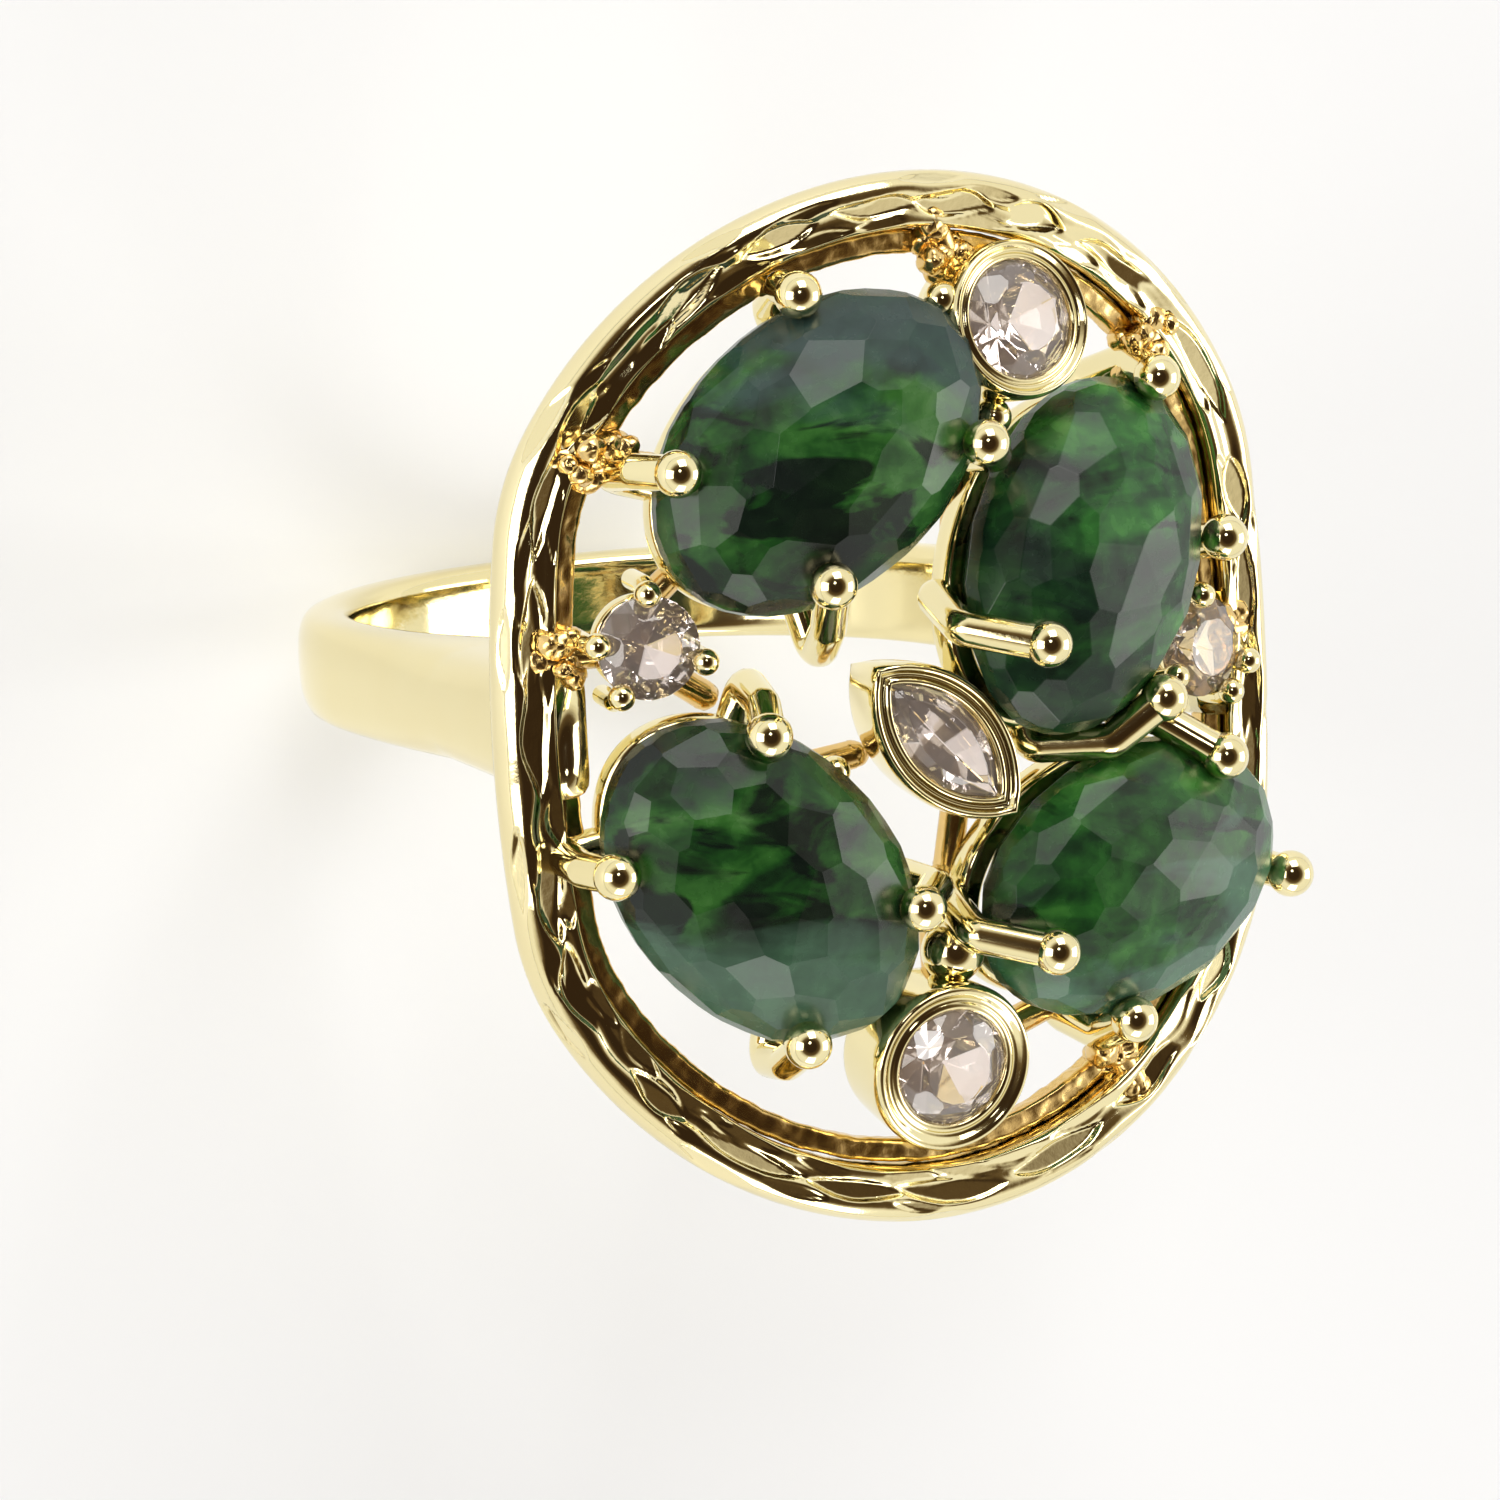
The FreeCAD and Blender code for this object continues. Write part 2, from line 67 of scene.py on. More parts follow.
print("nodes", len(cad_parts), "box in mm", [round(v / MM, 2) for c in CAD_BOX for v in c])

# %% [markdown]
# ## Camera
# The ring stands on its band with the head up, and the camera looks down on the head
# from the left.  A long lens keeps the stones' shapes true.  The camera's axes
# are built from three angles by hand, because a roll is clearer that way than in Euler
# angles.  It is made first, so that every later piece can be judged through it.

# %% Camera from its angles
CAMERA_TURN = math.radians(26.0)
CAMERA_RISE = math.radians(8.5)
CAMERA_ROLL = math.radians(-2.9)
CAMERA_DISTANCE = 0.209
CAMERA_TARGET = np.array([0.0, 0.0, 0.006])
CAMERA_LENS = 184.9
CAMERA_SHIFT = (-0.016, -0.058)


def camera_axes():
    """Right, up and backward directions of the camera."""
    turn, rise, roll = CAMERA_TURN, CAMERA_RISE, CAMERA_ROLL
    back = np.array([-math.sin(turn) * math.cos(rise), math.sin(rise),
                     math.cos(turn) * math.cos(rise)])
    level = np.array([math.cos(turn), 0.0, math.sin(turn)])
    upright = np.cross(back, level)
    right = level * math.cos(roll) + upright * math.sin(roll)
    return right, np.cross(back, right), back


def make_camera():
    data = bpy.data.cameras.new("camera")
    data.lens = CAMERA_LENS
    data.shift_x, data.shift_y = CAMERA_SHIFT
    data.clip_start, data.clip_end = 0.01, 10.0
    camera = bpy.data.objects.new("camera", data)
    bpy.context.scene.collection.objects.link(camera)
    right, up, back = camera_axes()
    place = np.eye(4)
    place[:3, 0], place[:3, 1], place[:3, 2] = right, up, back
    place[:3, 3] = CAMERA_TARGET + back * CAMERA_DISTANCE
    camera.matrix_world = Matrix(place.tolist())
    bpy.context.scene.camera = camera
    return camera


print("camera at", [round(v, 4) for v in make_camera().matrix_world.translation])

# %% [markdown]
# ## Node trees as expressions
# Materials and Geometry Nodes are both node trees.  A small wrapper lets shader maths be
# written as Python: `Value` stands for a socket and adds a Math node for each operator.
# Every other node comes from one method, which sets the node's options first and then
# fills or links its sockets.

# %% Value and tree wrappers
class Value:
    """A node's output that can be used in arithmetic."""

    def __init__(self, tree, socket):
        self.tree, self.socket = tree, socket

    def math(self, operation, first, second):
        return self.tree.node("ShaderNodeMath", {"operation": operation},
                              {0: first, 1: second})

    def __add__(self, other):
        return self.math("ADD", self, other)

    def __radd__(self, other):
        return self.math("ADD", other, self)

    def __sub__(self, other):
        return self.math("SUBTRACT", self, other)

    def __rsub__(self, other):
        return self.math("SUBTRACT", other, self)

    def __mul__(self, other):
        return self.math("MULTIPLY", self, other)

    def __rmul__(self, other):
        return self.math("MULTIPLY", other, self)


class Tree:
    """A node tree that is filled through one method."""

    def __init__(self, node_tree):
        self.tree = node_tree

    def node(self, kind, settings=None, sockets=None, output=0):
        node = self.tree.nodes.new(kind)
        for key, value in (settings or {}).items():
            if key == "stops":
                self.set_stops(node.color_ramp, value)
            else:
                setattr(node, key, value)
        for key, value in (sockets or {}).items():
            for one in value if isinstance(value, list) else [value]:
                self.fill(node.inputs[key], one)
        return Value(self, node.outputs[output]) if len(node.outputs) else None

    def fill(self, socket, value):
        if isinstance(value, Value):
            self.tree.links.new(value.socket, socket)
        else:
            socket.default_value = value

    @staticmethod
    def set_stops(ramp, stops):
        while len(ramp.elements) < len(stops):
            ramp.elements.new(0.5)
        for element, (position, colour) in zip(ramp.elements, stops):
            element.position = position
            element.color = (*colour, 1.0)


print("tree wrappers ready")

# %% [markdown]
# ## Finishes
# The metal is a pale gold plate over cast brass.  Its colour comes from the reflection
# tint of a full metal, so light that bounces twice between wires turns golden brown by
# itself.  Fine noise in the roughness and a very small bump keep it from looking like
# chrome: a plated casting is never optically flat.  The cast gold of the gallery's struts
# and rail is rougher, and its browner, darker colour is partly dirt in the crevices and
# partly painted shade of those crevices.

# %% Gold finishes
def new_material(name):
    material = bpy.data.materials.new(name)
    material.use_nodes = True
    material.node_tree.nodes.clear()
    return material, Tree(material.node_tree)


def own_place(tree):
    """Coordinates in the piece's own space."""
    return tree.node("ShaderNodeTexCoord", output="Object")


def noise(tree, place, scale, detail=2.0, distortion=0.0):
    """Noise in the piece's own space; scale is in features per metre."""
    return tree.node("ShaderNodeTexNoise", {}, {
        "Vector": place, "Scale": scale, "Detail": detail, "Distortion": distortion})


def mix_colour(tree, factor, first, second):
    """Mix of two colours.  Its sockets go by number, because their names repeat."""
    return tree.node("ShaderNodeMix", {"data_type": "RGBA"},
                     {0: factor, 6: first, 7: second}, output=2)


def colour_ramp(tree, factor, stops):
    return tree.node("ShaderNodeValToRGB", {"stops": stops}, {0: factor})


def fine_bump(tree, height, strength, depth):
    return tree.node("ShaderNodeBump", {}, {
        "Height": height, "Strength": strength, "Distance": depth})


def end_in_principled(tree, sockets):
    """Ends a material in one Principled shader with these sockets filled."""
    shader = tree.node("ShaderNodeBsdfPrincipled", {}, sockets)
    tree.node("ShaderNodeOutputMaterial", {}, {"Surface": shader})


CLOUD_SCALE = 160.0


def gold_finish(name, pale, deep, gloss, grain_scale, grain_depth):
    """Gold plate with clouded colour and roughness and a fine cast grain.

    gloss is its least roughness, and grain_depth is in metres."""
    material, tree = new_material(name)
    place = own_place(tree)
    clouds = noise(tree, place, CLOUD_SCALE, 3.0)
    grain = noise(tree, place, grain_scale, 4.0)
    end_in_principled(tree, {
        "Base Color": mix_colour(tree, clouds, (*pale, 1.0), (*deep, 1.0)),
        "Metallic": 1.0, "Roughness": gloss + grain * 0.06 + clouds * 0.05,
        "Normal": fine_bump(tree, grain + clouds * 0.5, 0.4, grain_depth)})
    return material


POLISHED_GOLD = gold_finish("polished_gold", (0.92, 0.84, 0.52), (0.86, 0.74, 0.38),
                            0.035, 3800.0, 0.000006)
HAMMERED_GOLD = gold_finish("hammered_gold", (0.92, 0.84, 0.53), (0.86, 0.74, 0.40),
                            0.03, 2600.0, 0.000012)
# Cast gold: rougher as-cast metal whose browner, darker colour is partly dirt and partly painted
# shade of the crevices between the gallery parts.
CAST_GOLD_DIRT_AND_SHADE = gold_finish("cast_gold", (0.90, 0.70, 0.32), (0.70, 0.42, 0.12),
                        0.14, 1700.0, 0.00006)
print("gold finishes", POLISHED_GOLD.name, HAMMERED_GOLD.name, CAST_GOLD_DIRT_AND_SHADE.name)

# %% [markdown]
# The green stones are opaque: deep green with black patches, cloudy paler veins and a
# bright polish.  Two noises at different sizes drive one colour ramp, and a third lays
# a zone of another tone over one side: paler on three stones, and on the upper right
# stone a dark painted shade.  The clear stones are a slightly pink cut glass.

# %% Stone finishes
BANDING = (0.62, 1.45, 1.0)
PATCH_SCALE, BLACK_SCALE, SIDE_ZONE_SCALE, SPECK_SCALE = 330.0, 470.0, 260.0, 1500.0
SIDE_ZONE_STEEPNESS = 95.0


def scaled(colour, share):
    return tuple(share * c for c in colour)


def green_stone_finish(name, life, black_from, side_zone_colour, side_zone_direction, side_zone_start):
    """Mottled opaque green with black patches, and a zone of another tone on one side.

    On the upper right stone the zone is a dark painted shade over its lower left side, and
    on the other stones it is paler.  life lifts all its greens, and a higher black_from
    leaves fewer black patches.  The zone lies along its direction argument, and its start
    argument is how far out it begins, in metres from the ring's axis."""
    material, tree = new_material(name)
    place = own_place(tree)
    banded = tree.node("ShaderNodeVectorMath", {"operation": "MULTIPLY"},
                       {0: place, 1: BANDING})
    patches = noise(tree, banded, PATCH_SCALE, 7.0, 0.9)
    specks = noise(tree, place, SPECK_SCALE, 4.0, 0.3)
    mottle = colour_ramp(tree, patches * 0.74 + specks * 0.26, [
        (0.34, (0.002, 0.005, 0.003)), (0.44, scaled((0.006, 0.026, 0.008), life)),
        (0.53, scaled((0.013, 0.070, 0.012), life)),
        (0.62, scaled((0.035, 0.140, 0.024), life)),
        (0.75, scaled((0.110, 0.250, 0.080), life))])
    black = colour_ramp(tree, noise(tree, banded, BLACK_SCALE, 6.0, 0.8), [
        (black_from, (0.0, 0.0, 0.0)), (black_from + 0.07, (0.92, 0.92, 0.92))])
    outward = tree.node("ShaderNodeVectorMath", {"operation": "DOT_PRODUCT"},
                        {0: place, 1: side_zone_direction}, output="Value")
    # Side zone: on the upper right stone it lays a dark painted shade over the lower left side,
    # on the others a paler tone.
    zone = (outward - side_zone_start) * SIDE_ZONE_STEEPNESS
    side_zone_share = colour_ramp(tree, zone + noise(tree, banded, SIDE_ZONE_SCALE, 5.0, 1.0), [
        (0.46, (0.0, 0.0, 0.0)), (0.62, (0.8, 0.8, 0.8))])
    pale = mix_colour(tree, specks, (*scaled(side_zone_colour, 0.55), 1.0),
                      (*scaled(side_zone_colour, 1.4), 1.0))
    colour = mix_colour(tree, black, mottle, (0.003, 0.006, 0.005, 1.0))
    colour = mix_colour(tree, side_zone_share, colour, pale)
    end_in_principled(tree, {
        "Base Color": colour, "Roughness": 0.15 + specks * 0.22, "IOR": 1.5,
        "Specular IOR Level": 0.33, "Coat Weight": 0.06, "Coat Roughness": 0.06,
        "Normal": fine_bump(tree, specks, 0.3, 0.000012)})
    return material


def clear_stone_finish():
    """Cut glass with a faint pink cast and a few cloudy spots."""
    material, tree = new_material("clear_stone")
    cloud = noise(tree, own_place(tree), 900.0, 3.0, 0.5)
    colour = mix_colour(tree, cloud, (1.00, 0.95, 0.93, 1.0), (0.97, 0.80, 0.74, 1.0))
    end_in_principled(tree, {
        "Base Color": colour, "Roughness": 0.01 + cloud * 0.03, "IOR": 1.8,
        "Transmission Weight": 0.9})
    return material


# each stone's life, black_from, and the colour, direction and start of its side zone (on the
# upper right stone a dark painted shade)
STONE_LOOKS = {
    "upper_left": (0.92, 0.52, (0.030, 0.062, 0.058), (0.35, 0.94, 0.0), 0.0062),
    "lower_left": (0.85, 0.50, (0.055, 0.125, 0.078), (-0.30, -0.95, 0.0), 0.0066),
    # The upper right stone's side zone is a dark painted shade over its lower left side.
    "upper_right": (1.90, 0.57, (0.004, 0.014, 0.009), (-0.62, -0.78, 0.0), -0.0050),
    "lower_right": (1.30, 0.60, (0.060, 0.150, 0.095), (0.45, -0.89, 0.0), 0.0078),
}
GREEN_STONES = {side: green_stone_finish(side + "_green_stone", *look)
                for side, look in STONE_LOOKS.items()}
CLEAR_STONE = clear_stone_finish()
print("stone finishes", len(GREEN_STONES), CLEAR_STONE.name)

# %% [markdown]
# ## Making a piece
# Every piece is worked out in millimetres in the ring's own frame, then written as a
# mesh in metres.  The faces of a closed shell are turned outwards by the sign of its
# volume.  A finished piece rides on the ring's one body and stands for its design nodes.

# %% Mesh helpers
FINISHES = {"polished_gold": POLISHED_GOLD, "hammered_gold": HAMMERED_GOLD,
            "cast_gold": CAST_GOLD_DIRT_AND_SHADE, "clear_stone": CLEAR_STONE}


def grid_faces(rows, columns, closed_rows):
    """Quads of a grid whose columns close on themselves, and its rows if asked."""
    faces = []
    for i in range(rows if closed_rows else rows - 1):
        for j in range(columns):
            i2, j2 = (i + 1) % rows, (j + 1) % columns
            faces.append((i * columns + j, i * columns + j2,
                          i2 * columns + j2, i2 * columns + j))
    return faces


def signed_volume(points, faces):
    total = 0.0
    for face in faces:
        corner = points[face[0]]
        for a, b in zip(face[1:], face[2:]):
            total += float(np.dot(corner, np.cross(points[a], points[b])))
    return total


def mesh_from(name, points, faces, smooth):
    points = np.asarray(points, float)
    if signed_volume(points, faces) < 0:
        faces = [tuple(reversed(face)) for face in faces]
    mesh = bpy.data.meshes.new(name)
    mesh.from_pydata([tuple(p * MM) for p in points], [], faces)
    mesh.polygons.foreach_set("use_smooth", [smooth] * len(mesh.polygons))
    mesh.update()
    return mesh


def finish_piece(name, mesh, slot, nodes, finish=None):
    """Links a mesh, gives it its finish, and lets it stand for its design nodes."""
    piece = bpy.data.objects.new(name, mesh)
    bpy.context.scene.collection.objects.link(piece)
    mesh.materials.clear()
    mesh.materials.append(finish or FINISHES[slot])
    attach(piece, BODY)
    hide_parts(*nodes)
    print(name, "faces", len(mesh.polygons), "for", len(nodes), "nodes")
    return piece


def closed_curve(knots, count):
    """Evenly spread points on a smooth closed curve through knots."""
    knots = np.asarray(knots, float)
    dense = []
    steps = 24
    for i in range(len(knots)):
        a, b, c, d = (knots[(i + k) % len(knots)] for k in (-1, 0, 1, 2))
        for t in np.arange(steps) / steps:
            dense.append(0.5 * (2 * b + (c - a) * t + (2 * a - 5 * b + 4 * c - d) * t ** 2
                                + (3 * b - a - 3 * c + d) * t ** 3))
    dense = np.array(dense + dense[:1])
    along = np.concatenate([[0], np.cumsum(np.linalg.norm(np.diff(dense, axis=0), axis=1))])
    wanted = np.linspace(0, along[-1], count, endpoint=False)
    return np.stack([np.interp(wanted, along, dense[:, k])
                     for k in range(dense.shape[1])], axis=1)


print("mesh helpers ready")

# %% [markdown]
# ## The head's crown and the seats of the stones
# The head curves about the finger like a shallow barrel.  The frame's half sizes and
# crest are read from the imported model.  Each stone has a seat: a centre, the turn of its
# long axis, and its lean about X and about Y.

# %% Crown and seats
HALF_WIDTH, HALF_LENGTH, HEAD_TOP = np.array(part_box("hammered_frame")[1]) / MM
CROWN_RADIUS = 35.0
# ovals and marquise: centre, turn, lean about X and about Y
OVALS = {
    "upper_left": ((-3.1, 6.9, 15.5), 35, -10, -9),
    "lower_left": ((-5.2, -4.1, 15.2), -48, 6, -10),
    "upper_right": ((4.6, 3.4, 15.2), 57, -10, 14),
    "lower_right": ((5.6, -5.3, 15.0), 11, 5, 14),
}
# round cups: centre, the two leans and the cup's outside radius
ROUND_BEZELS = {
    "top": ((2.75, 9.8, 15.7), -12, 6, 2.12),
    "bottom": ((-0.28, -9.53, 15.8), 8, 0, 2.3),
}
MARQUISE = ((-0.1, -0.9, 16.0), -48, 0, -4)
# accents: centre, the two leans and the angles of the four fine claws
ACCENTS = {
    "left": ((-7.7, 2.2, 14.5), 0, -12, (92, 343, 233, 172)),
    "right": ((8.7, 0.4, 14.1), 0, 15, (100, 338, 298, 205)),
}


def crown_height(x, drop=0.0):
    return HEAD_TOP - CROWN_RADIUS + np.sqrt(CROWN_RADIUS ** 2 - x * x) - drop


def turned(axis, degrees):
    """Rotation matrix about X, Y or Z."""
    c, s = math.cos(math.radians(degrees)), math.sin(math.radians(degrees))
    rows = {"X": [[1, 0, 0], [0, c, -s], [0, s, c]],
            "Y": [[c, 0, s], [0, 1, 0], [-s, 0, c]],
            "Z": [[c, -s, 0], [s, c, 0], [0, 0, 1]]}
    return np.array(rows[axis], float)


class StonePlace:
    """Place of a stone: its own frame, and the way from there to the ring's."""

    def __init__(self, centre, turn, lean_x, lean_y):
        self.centre = np.array(centre, float)
        self.matrix = turned("X", lean_x) @ turned("Y", lean_y) @ turned("Z", turn)

    def place(self, points):
        return np.asarray(points, float) @ self.matrix.T + self.centre


OVAL_SEATS = {side: StonePlace(*spec) for side, spec in OVALS.items()}
BEZEL_SEATS = {side: StonePlace(c, 0, x, y) for side, (c, x, y, _) in ROUND_BEZELS.items()}
ACCENT_SEATS = {side: StonePlace(c, 0, x, y) for side, (c, x, y, _) in ACCENTS.items()}
MARQUISE_SEAT = StonePlace(*MARQUISE)
print("crest", round(float(HEAD_TOP), 2), "half sizes", HALF_WIDTH.round(2), HALF_LENGTH.round(2))

# %% [markdown]
# ## The oval path
# The frame and the inner rail follow the same outline: eight tangent arcs.  A point of
# the outline is kept as its arc's centre, radius and direction, so a set-in line is the
# same arc with a smaller radius, and the band keeps its width all the way round.

# %% Outline of the head
SIDE_RADIUS, CORNER_RADIUS = 45.0, 7.5
SIDE_ANGLE = math.radians(6.4)


def outline_arcs():
    """Arcs of the outline: centre x, centre y, radius, start and stop angle."""
    side_x = HALF_WIDTH - SIDE_RADIUS
    corner_x = side_x + (SIDE_RADIUS - CORNER_RADIUS) * math.cos(SIDE_ANGLE)
    corner_y = (SIDE_RADIUS - CORNER_RADIUS) * math.sin(SIDE_ANGLE)
    rise = corner_y - HALF_LENGTH
    end = (CORNER_RADIUS ** 2 - corner_x ** 2 - rise ** 2) / (2 * (rise + CORNER_RADIUS))
    end_y = HALF_LENGTH - end
    turn = math.atan2(corner_y - end_y, corner_x)
    half = [(side_x, 0, SIDE_RADIUS, -SIDE_ANGLE, SIDE_ANGLE),
            (corner_x, corner_y, CORNER_RADIUS, SIDE_ANGLE, turn),
            (0, end_y, end, turn, math.pi - turn),
            (-corner_x, corner_y, CORNER_RADIUS, math.pi - turn, math.pi - SIDE_ANGLE)]
    other = [(-x, -y, r, a + math.pi, b + math.pi) for x, y, r, a, b in half]
    return half + other


def outline_stations(spacing):
    """Stations at about one spacing along the outline: centre, radius, direction."""
    stations = []
    for x, y, radius, start, stop in outline_arcs():
        count = max(2, round(radius * (stop - start) / spacing))
        for angle in np.linspace(start, stop, count, endpoint=False):
            stations.append((x, y, radius, math.cos(angle), math.sin(angle)))
    return np.array(stations)


def band_points(stations, section, shift=0.0):
    """Sweeps a section of (set-in, height over the crown) along the outline."""
    inset, lift = section[:, 0], section[:, 1]
    reach = stations[:, 2:3] - inset[None, :] - shift
    x = stations[:, 0:1] + reach * stations[:, 3:4]
    y = stations[:, 1:2] + reach * stations[:, 4:5]
    return np.stack([x, y, crown_height(x) + lift[None, :]], axis=2)


print("outline arcs", len(outline_arcs()))

# %% [markdown]
# ## The hammered frame
# On the real ring the outside of the frame is a smooth bevel that ends in a ridge, and
# inside the ridge runs a shallow trough.  A narrow hammer has left long pointed flats
# all along the trough and a few in the bevel.  A bump map could only fake the glints, so
# the flats are made in the mesh.  The section is swept along the outline, and the ridge
# wanders a little.  Then each blow presses the points inside a lens-shaped patch down
# to a slightly tilted plane.

# %% Section and blows
FRAME_SECTION = [(0.00, -0.62), (0.04, -0.40), (0.16, -0.16), (0.34, -0.03), (0.50, 0.00),
                 (0.64, -0.04), (0.82, -0.14), (1.02, -0.17), (1.20, -0.12), (1.36, -0.12),
                 (1.47, -0.28), (1.50, -0.60), (1.50, -1.30), (1.40, -1.39), (0.80, -1.40),
                 (0.58, -1.32), (0.28, -1.08), (0.06, -0.84)]
FRAME_WIDTH = 1.5
HAMMER_SEED = 7
SECTION_POINTS, CALM_WEIGHT = 58, 0.3
HAMMERED_ABOVE = -0.45
STATION_SPACING = 0.066
RIDGE_WANDER = 0.035
WANDER_WAVES = range(9, 40, 3)
# rows of blows: set-in, half width, half length, depth, spacing
BLOW_ROWS = [(0.15, 0.14, 1.5, 0.055, 5.6), (0.48, 0.17, 1.1, 0.050, 4.4),
             (0.84, 0.34, 1.6, 0.085, 3.1), (1.25, 0.22, 1.2, 0.070, 2.9)]
# how far single blows differ from their row, as factors, and how they tilt and skew
LENGTHS, WIDTHS, DEPTHS, GAPS = (0.65, 1.35), (0.8, 1.3), (0.7, 1.4), (0.55, 1.45)
BLOW_TILT, BLOW_SKEW = 0.07, 0.06
BLOW_EDGE, DEEPEST_BLOW = 0.28, 0.16


def frame_section():
    """Section with its points close together where the hammer falls."""
    dense = closed_curve(FRAME_SECTION, 900)
    weight = np.where(dense[:, 1] > HAMMERED_ABOVE, 1.0, CALM_WEIGHT)
    along = np.cumsum(weight)
    wanted = np.linspace(0, along[-1], SECTION_POINTS, endpoint=False)
    return dense[np.searchsorted(along, wanted)]


def surface_normals(points, crest):
    """Outward normals of a swept grid, closed both ways."""
    along = np.roll(points, -1, axis=0) - np.roll(points, 1, axis=0)
    across = np.roll(points, -1, axis=1) - np.roll(points, 1, axis=1)
    normals = np.cross(along, across)
    normals /= np.linalg.norm(normals, axis=2, keepdims=True)
    return normals if normals[0, crest, 2] > 0 else -normals


def wandering(rng, count):
    """Smooth closed random line of about unit size."""
    turn = np.arange(count) * math.tau / count
    return sum(rng.normal(0, 0.45) * np.sin(k * turn + rng.uniform(0, math.tau))
               for k in WANDER_WAVES)


def hammered_points():
    """Swept frame with lens-shaped flats cut by seeded blows."""
    rng = np.random.default_rng(HAMMER_SEED)
    stations = outline_stations(STATION_SPACING)
    section = frame_section()
    freedom = np.sin(np.clip(section[:, 0] / FRAME_WIDTH, 0, 1) * math.pi) ** 2
    freedom = np.where(section[:, 1] > HAMMERED_ABOVE, freedom, 0.0)
    shift = wandering(rng, len(stations))[:, None] * freedom[None, :] * RIDGE_WANDER
    points = band_points(stations, section, shift)
    smooth = points.copy()
    normals = surface_normals(smooth, int(np.argmax(section[:, 1])))
    upper = np.where(section[:, 1] > HAMMERED_ABOVE)[0]
    for inset, half_width, half_length, depth, spacing in BLOW_ROWS:
        column = upper[np.argmin(np.abs(section[upper, 0] - inset))]
        position = rng.uniform(0, spacing)
        while position < len(points) * STATION_SPACING:
            row = int(position / STATION_SPACING)
            length = half_length * rng.uniform(*LENGTHS)
            width = half_width * rng.uniform(*WIDTHS)
            normal = normals[row, column] + rng.normal(0.0, BLOW_TILT, 3)
            normal /= np.linalg.norm(normal)
            steps = np.arange(-round(length / STATION_SPACING),
                              round(length / STATION_SPACING) + 1)
            near = np.ix_((row + steps) % len(points), upper)
            s = steps[:, None] * STATION_SPACING
            c = section[upper, 0][None, :] - inset + s * rng.normal(0.0, BLOW_SKEW)
            fill = np.clip((1 - np.abs(c) / width - (s / length) ** 2) / BLOW_EDGE, 0, 1)
            height = (points[near] - smooth[row, column]) @ normal
            height = np.clip(height + depth * rng.uniform(*DEPTHS), 0, DEEPEST_BLOW)
            points[near] -= (height * fill)[..., None] * normal
            position += spacing * rng.uniform(*GAPS)
    return points


def make_frame():
    points = hammered_points()
    rows, columns = points.shape[:2]
    mesh = mesh_from("hammered_frame_finished", points.reshape(-1, 3),
                     grid_faces(rows, columns, True), True)
    return finish_piece("hammered_frame_finished", mesh, "hammered_gold",
                        ["hammered_frame"])


make_frame()

# %% [markdown]
# ## The band
# The band is round where the finger sits, and its shoulders rise straight to the frame.
# It is a loft: at each station an inside point, an outside point and a half width give
# one softly domed section.  The stations run from one shoulder round the palm side to
# the other, so the polish is unbroken.

# %% Loft of the band
BORE_RADIUS, BAND_RADIUS = 9.05, 10.55
BAND_HALF_BASE, BAND_HALF_SHOULDER = 1.3, 1.65
SHOULDER_OUT, SHOULDER_IN = 10.7, 9.0
LIP_ANGLE = math.radians(43.0)
SHANK_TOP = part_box("shank")[1][2] / MM
# the shoulder's stations stop at its foot, and closer ones run down the side
SHOULDER_FOOT, SIDE_TOP, SIDE_FOOT = 6.9, 6.7, 0.3
SHOULDER_STATIONS, SIDE_STATIONS, PALM_STATIONS = 14, 26, 90


def band_station(height, side):
    """Inside and outside point of the band at a height on one side."""
    lip_x, lip_z = BORE_RADIUS * math.sin(LIP_ANGLE), BORE_RADIUS * math.cos(LIP_ANGLE)
    if height < lip_z:
        inside = math.sqrt(BORE_RADIUS ** 2 - height ** 2)
    else:
        inside = lip_x + (SHOULDER_IN - lip_x) * (height - lip_z) / (SHANK_TOP - lip_z)
    outside = BAND_RADIUS + (SHOULDER_OUT - BAND_RADIUS) * height / SHANK_TOP
    return (side * inside, height), (side * outside, height)


def band_stations():
    heights = np.concatenate([np.linspace(SHANK_TOP, SHOULDER_FOOT, SHOULDER_STATIONS),
                              np.linspace(SIDE_TOP, SIDE_FOOT, SIDE_STATIONS)])
    left = [band_station(h, -1) for h in heights]
    right = [band_station(h, 1) for h in heights[::-1]]
    palm = []
    for angle in np.linspace(math.pi, 2 * math.pi, PALM_STATIONS):
        palm.append([(radius * math.cos(angle), radius * math.sin(angle))
                     for radius in (BORE_RADIUS, BAND_RADIUS)])
    return left + palm + right


def band_section():
    """Rounded section: depth 0 inside to 1 outside, and width -1 to 1."""
    half = [(0.00, -0.25), (0.00, -0.70), (0.05, -0.90), (0.22, -1.00), (0.60, -1.00),
            (0.84, -0.90), (0.96, -0.62), (1.00, -0.25)]
    knots = half[1:] + [(depth, -width) for depth, width in reversed(half)] + half[:1]
    return closed_curve(knots, 40)


def make_band():
    section = band_section()
    points = []
    for inside, outside in band_stations():
        share = (outside[1] + BAND_RADIUS) / (SHANK_TOP + BAND_RADIUS)
        half = BAND_HALF_BASE + (BAND_HALF_SHOULDER - BAND_HALF_BASE) * max(0.0, share)
        for depth, width in section:
            points.append((inside[0] + (outside[0] - inside[0]) * depth, width * half,
                           inside[1] + (outside[1] - inside[1]) * depth))
    columns = len(section)
    rows = len(points) // columns
    faces = grid_faces(rows, columns, False)
    faces.append(tuple(range(columns)))
    faces.append(tuple(reversed(range((rows - 1) * columns, rows * columns))))
    mesh = mesh_from("shank_finished", points, faces, True)
    return finish_piece("shank_finished", mesh, "polished_gold", ["shank"])


make_band()

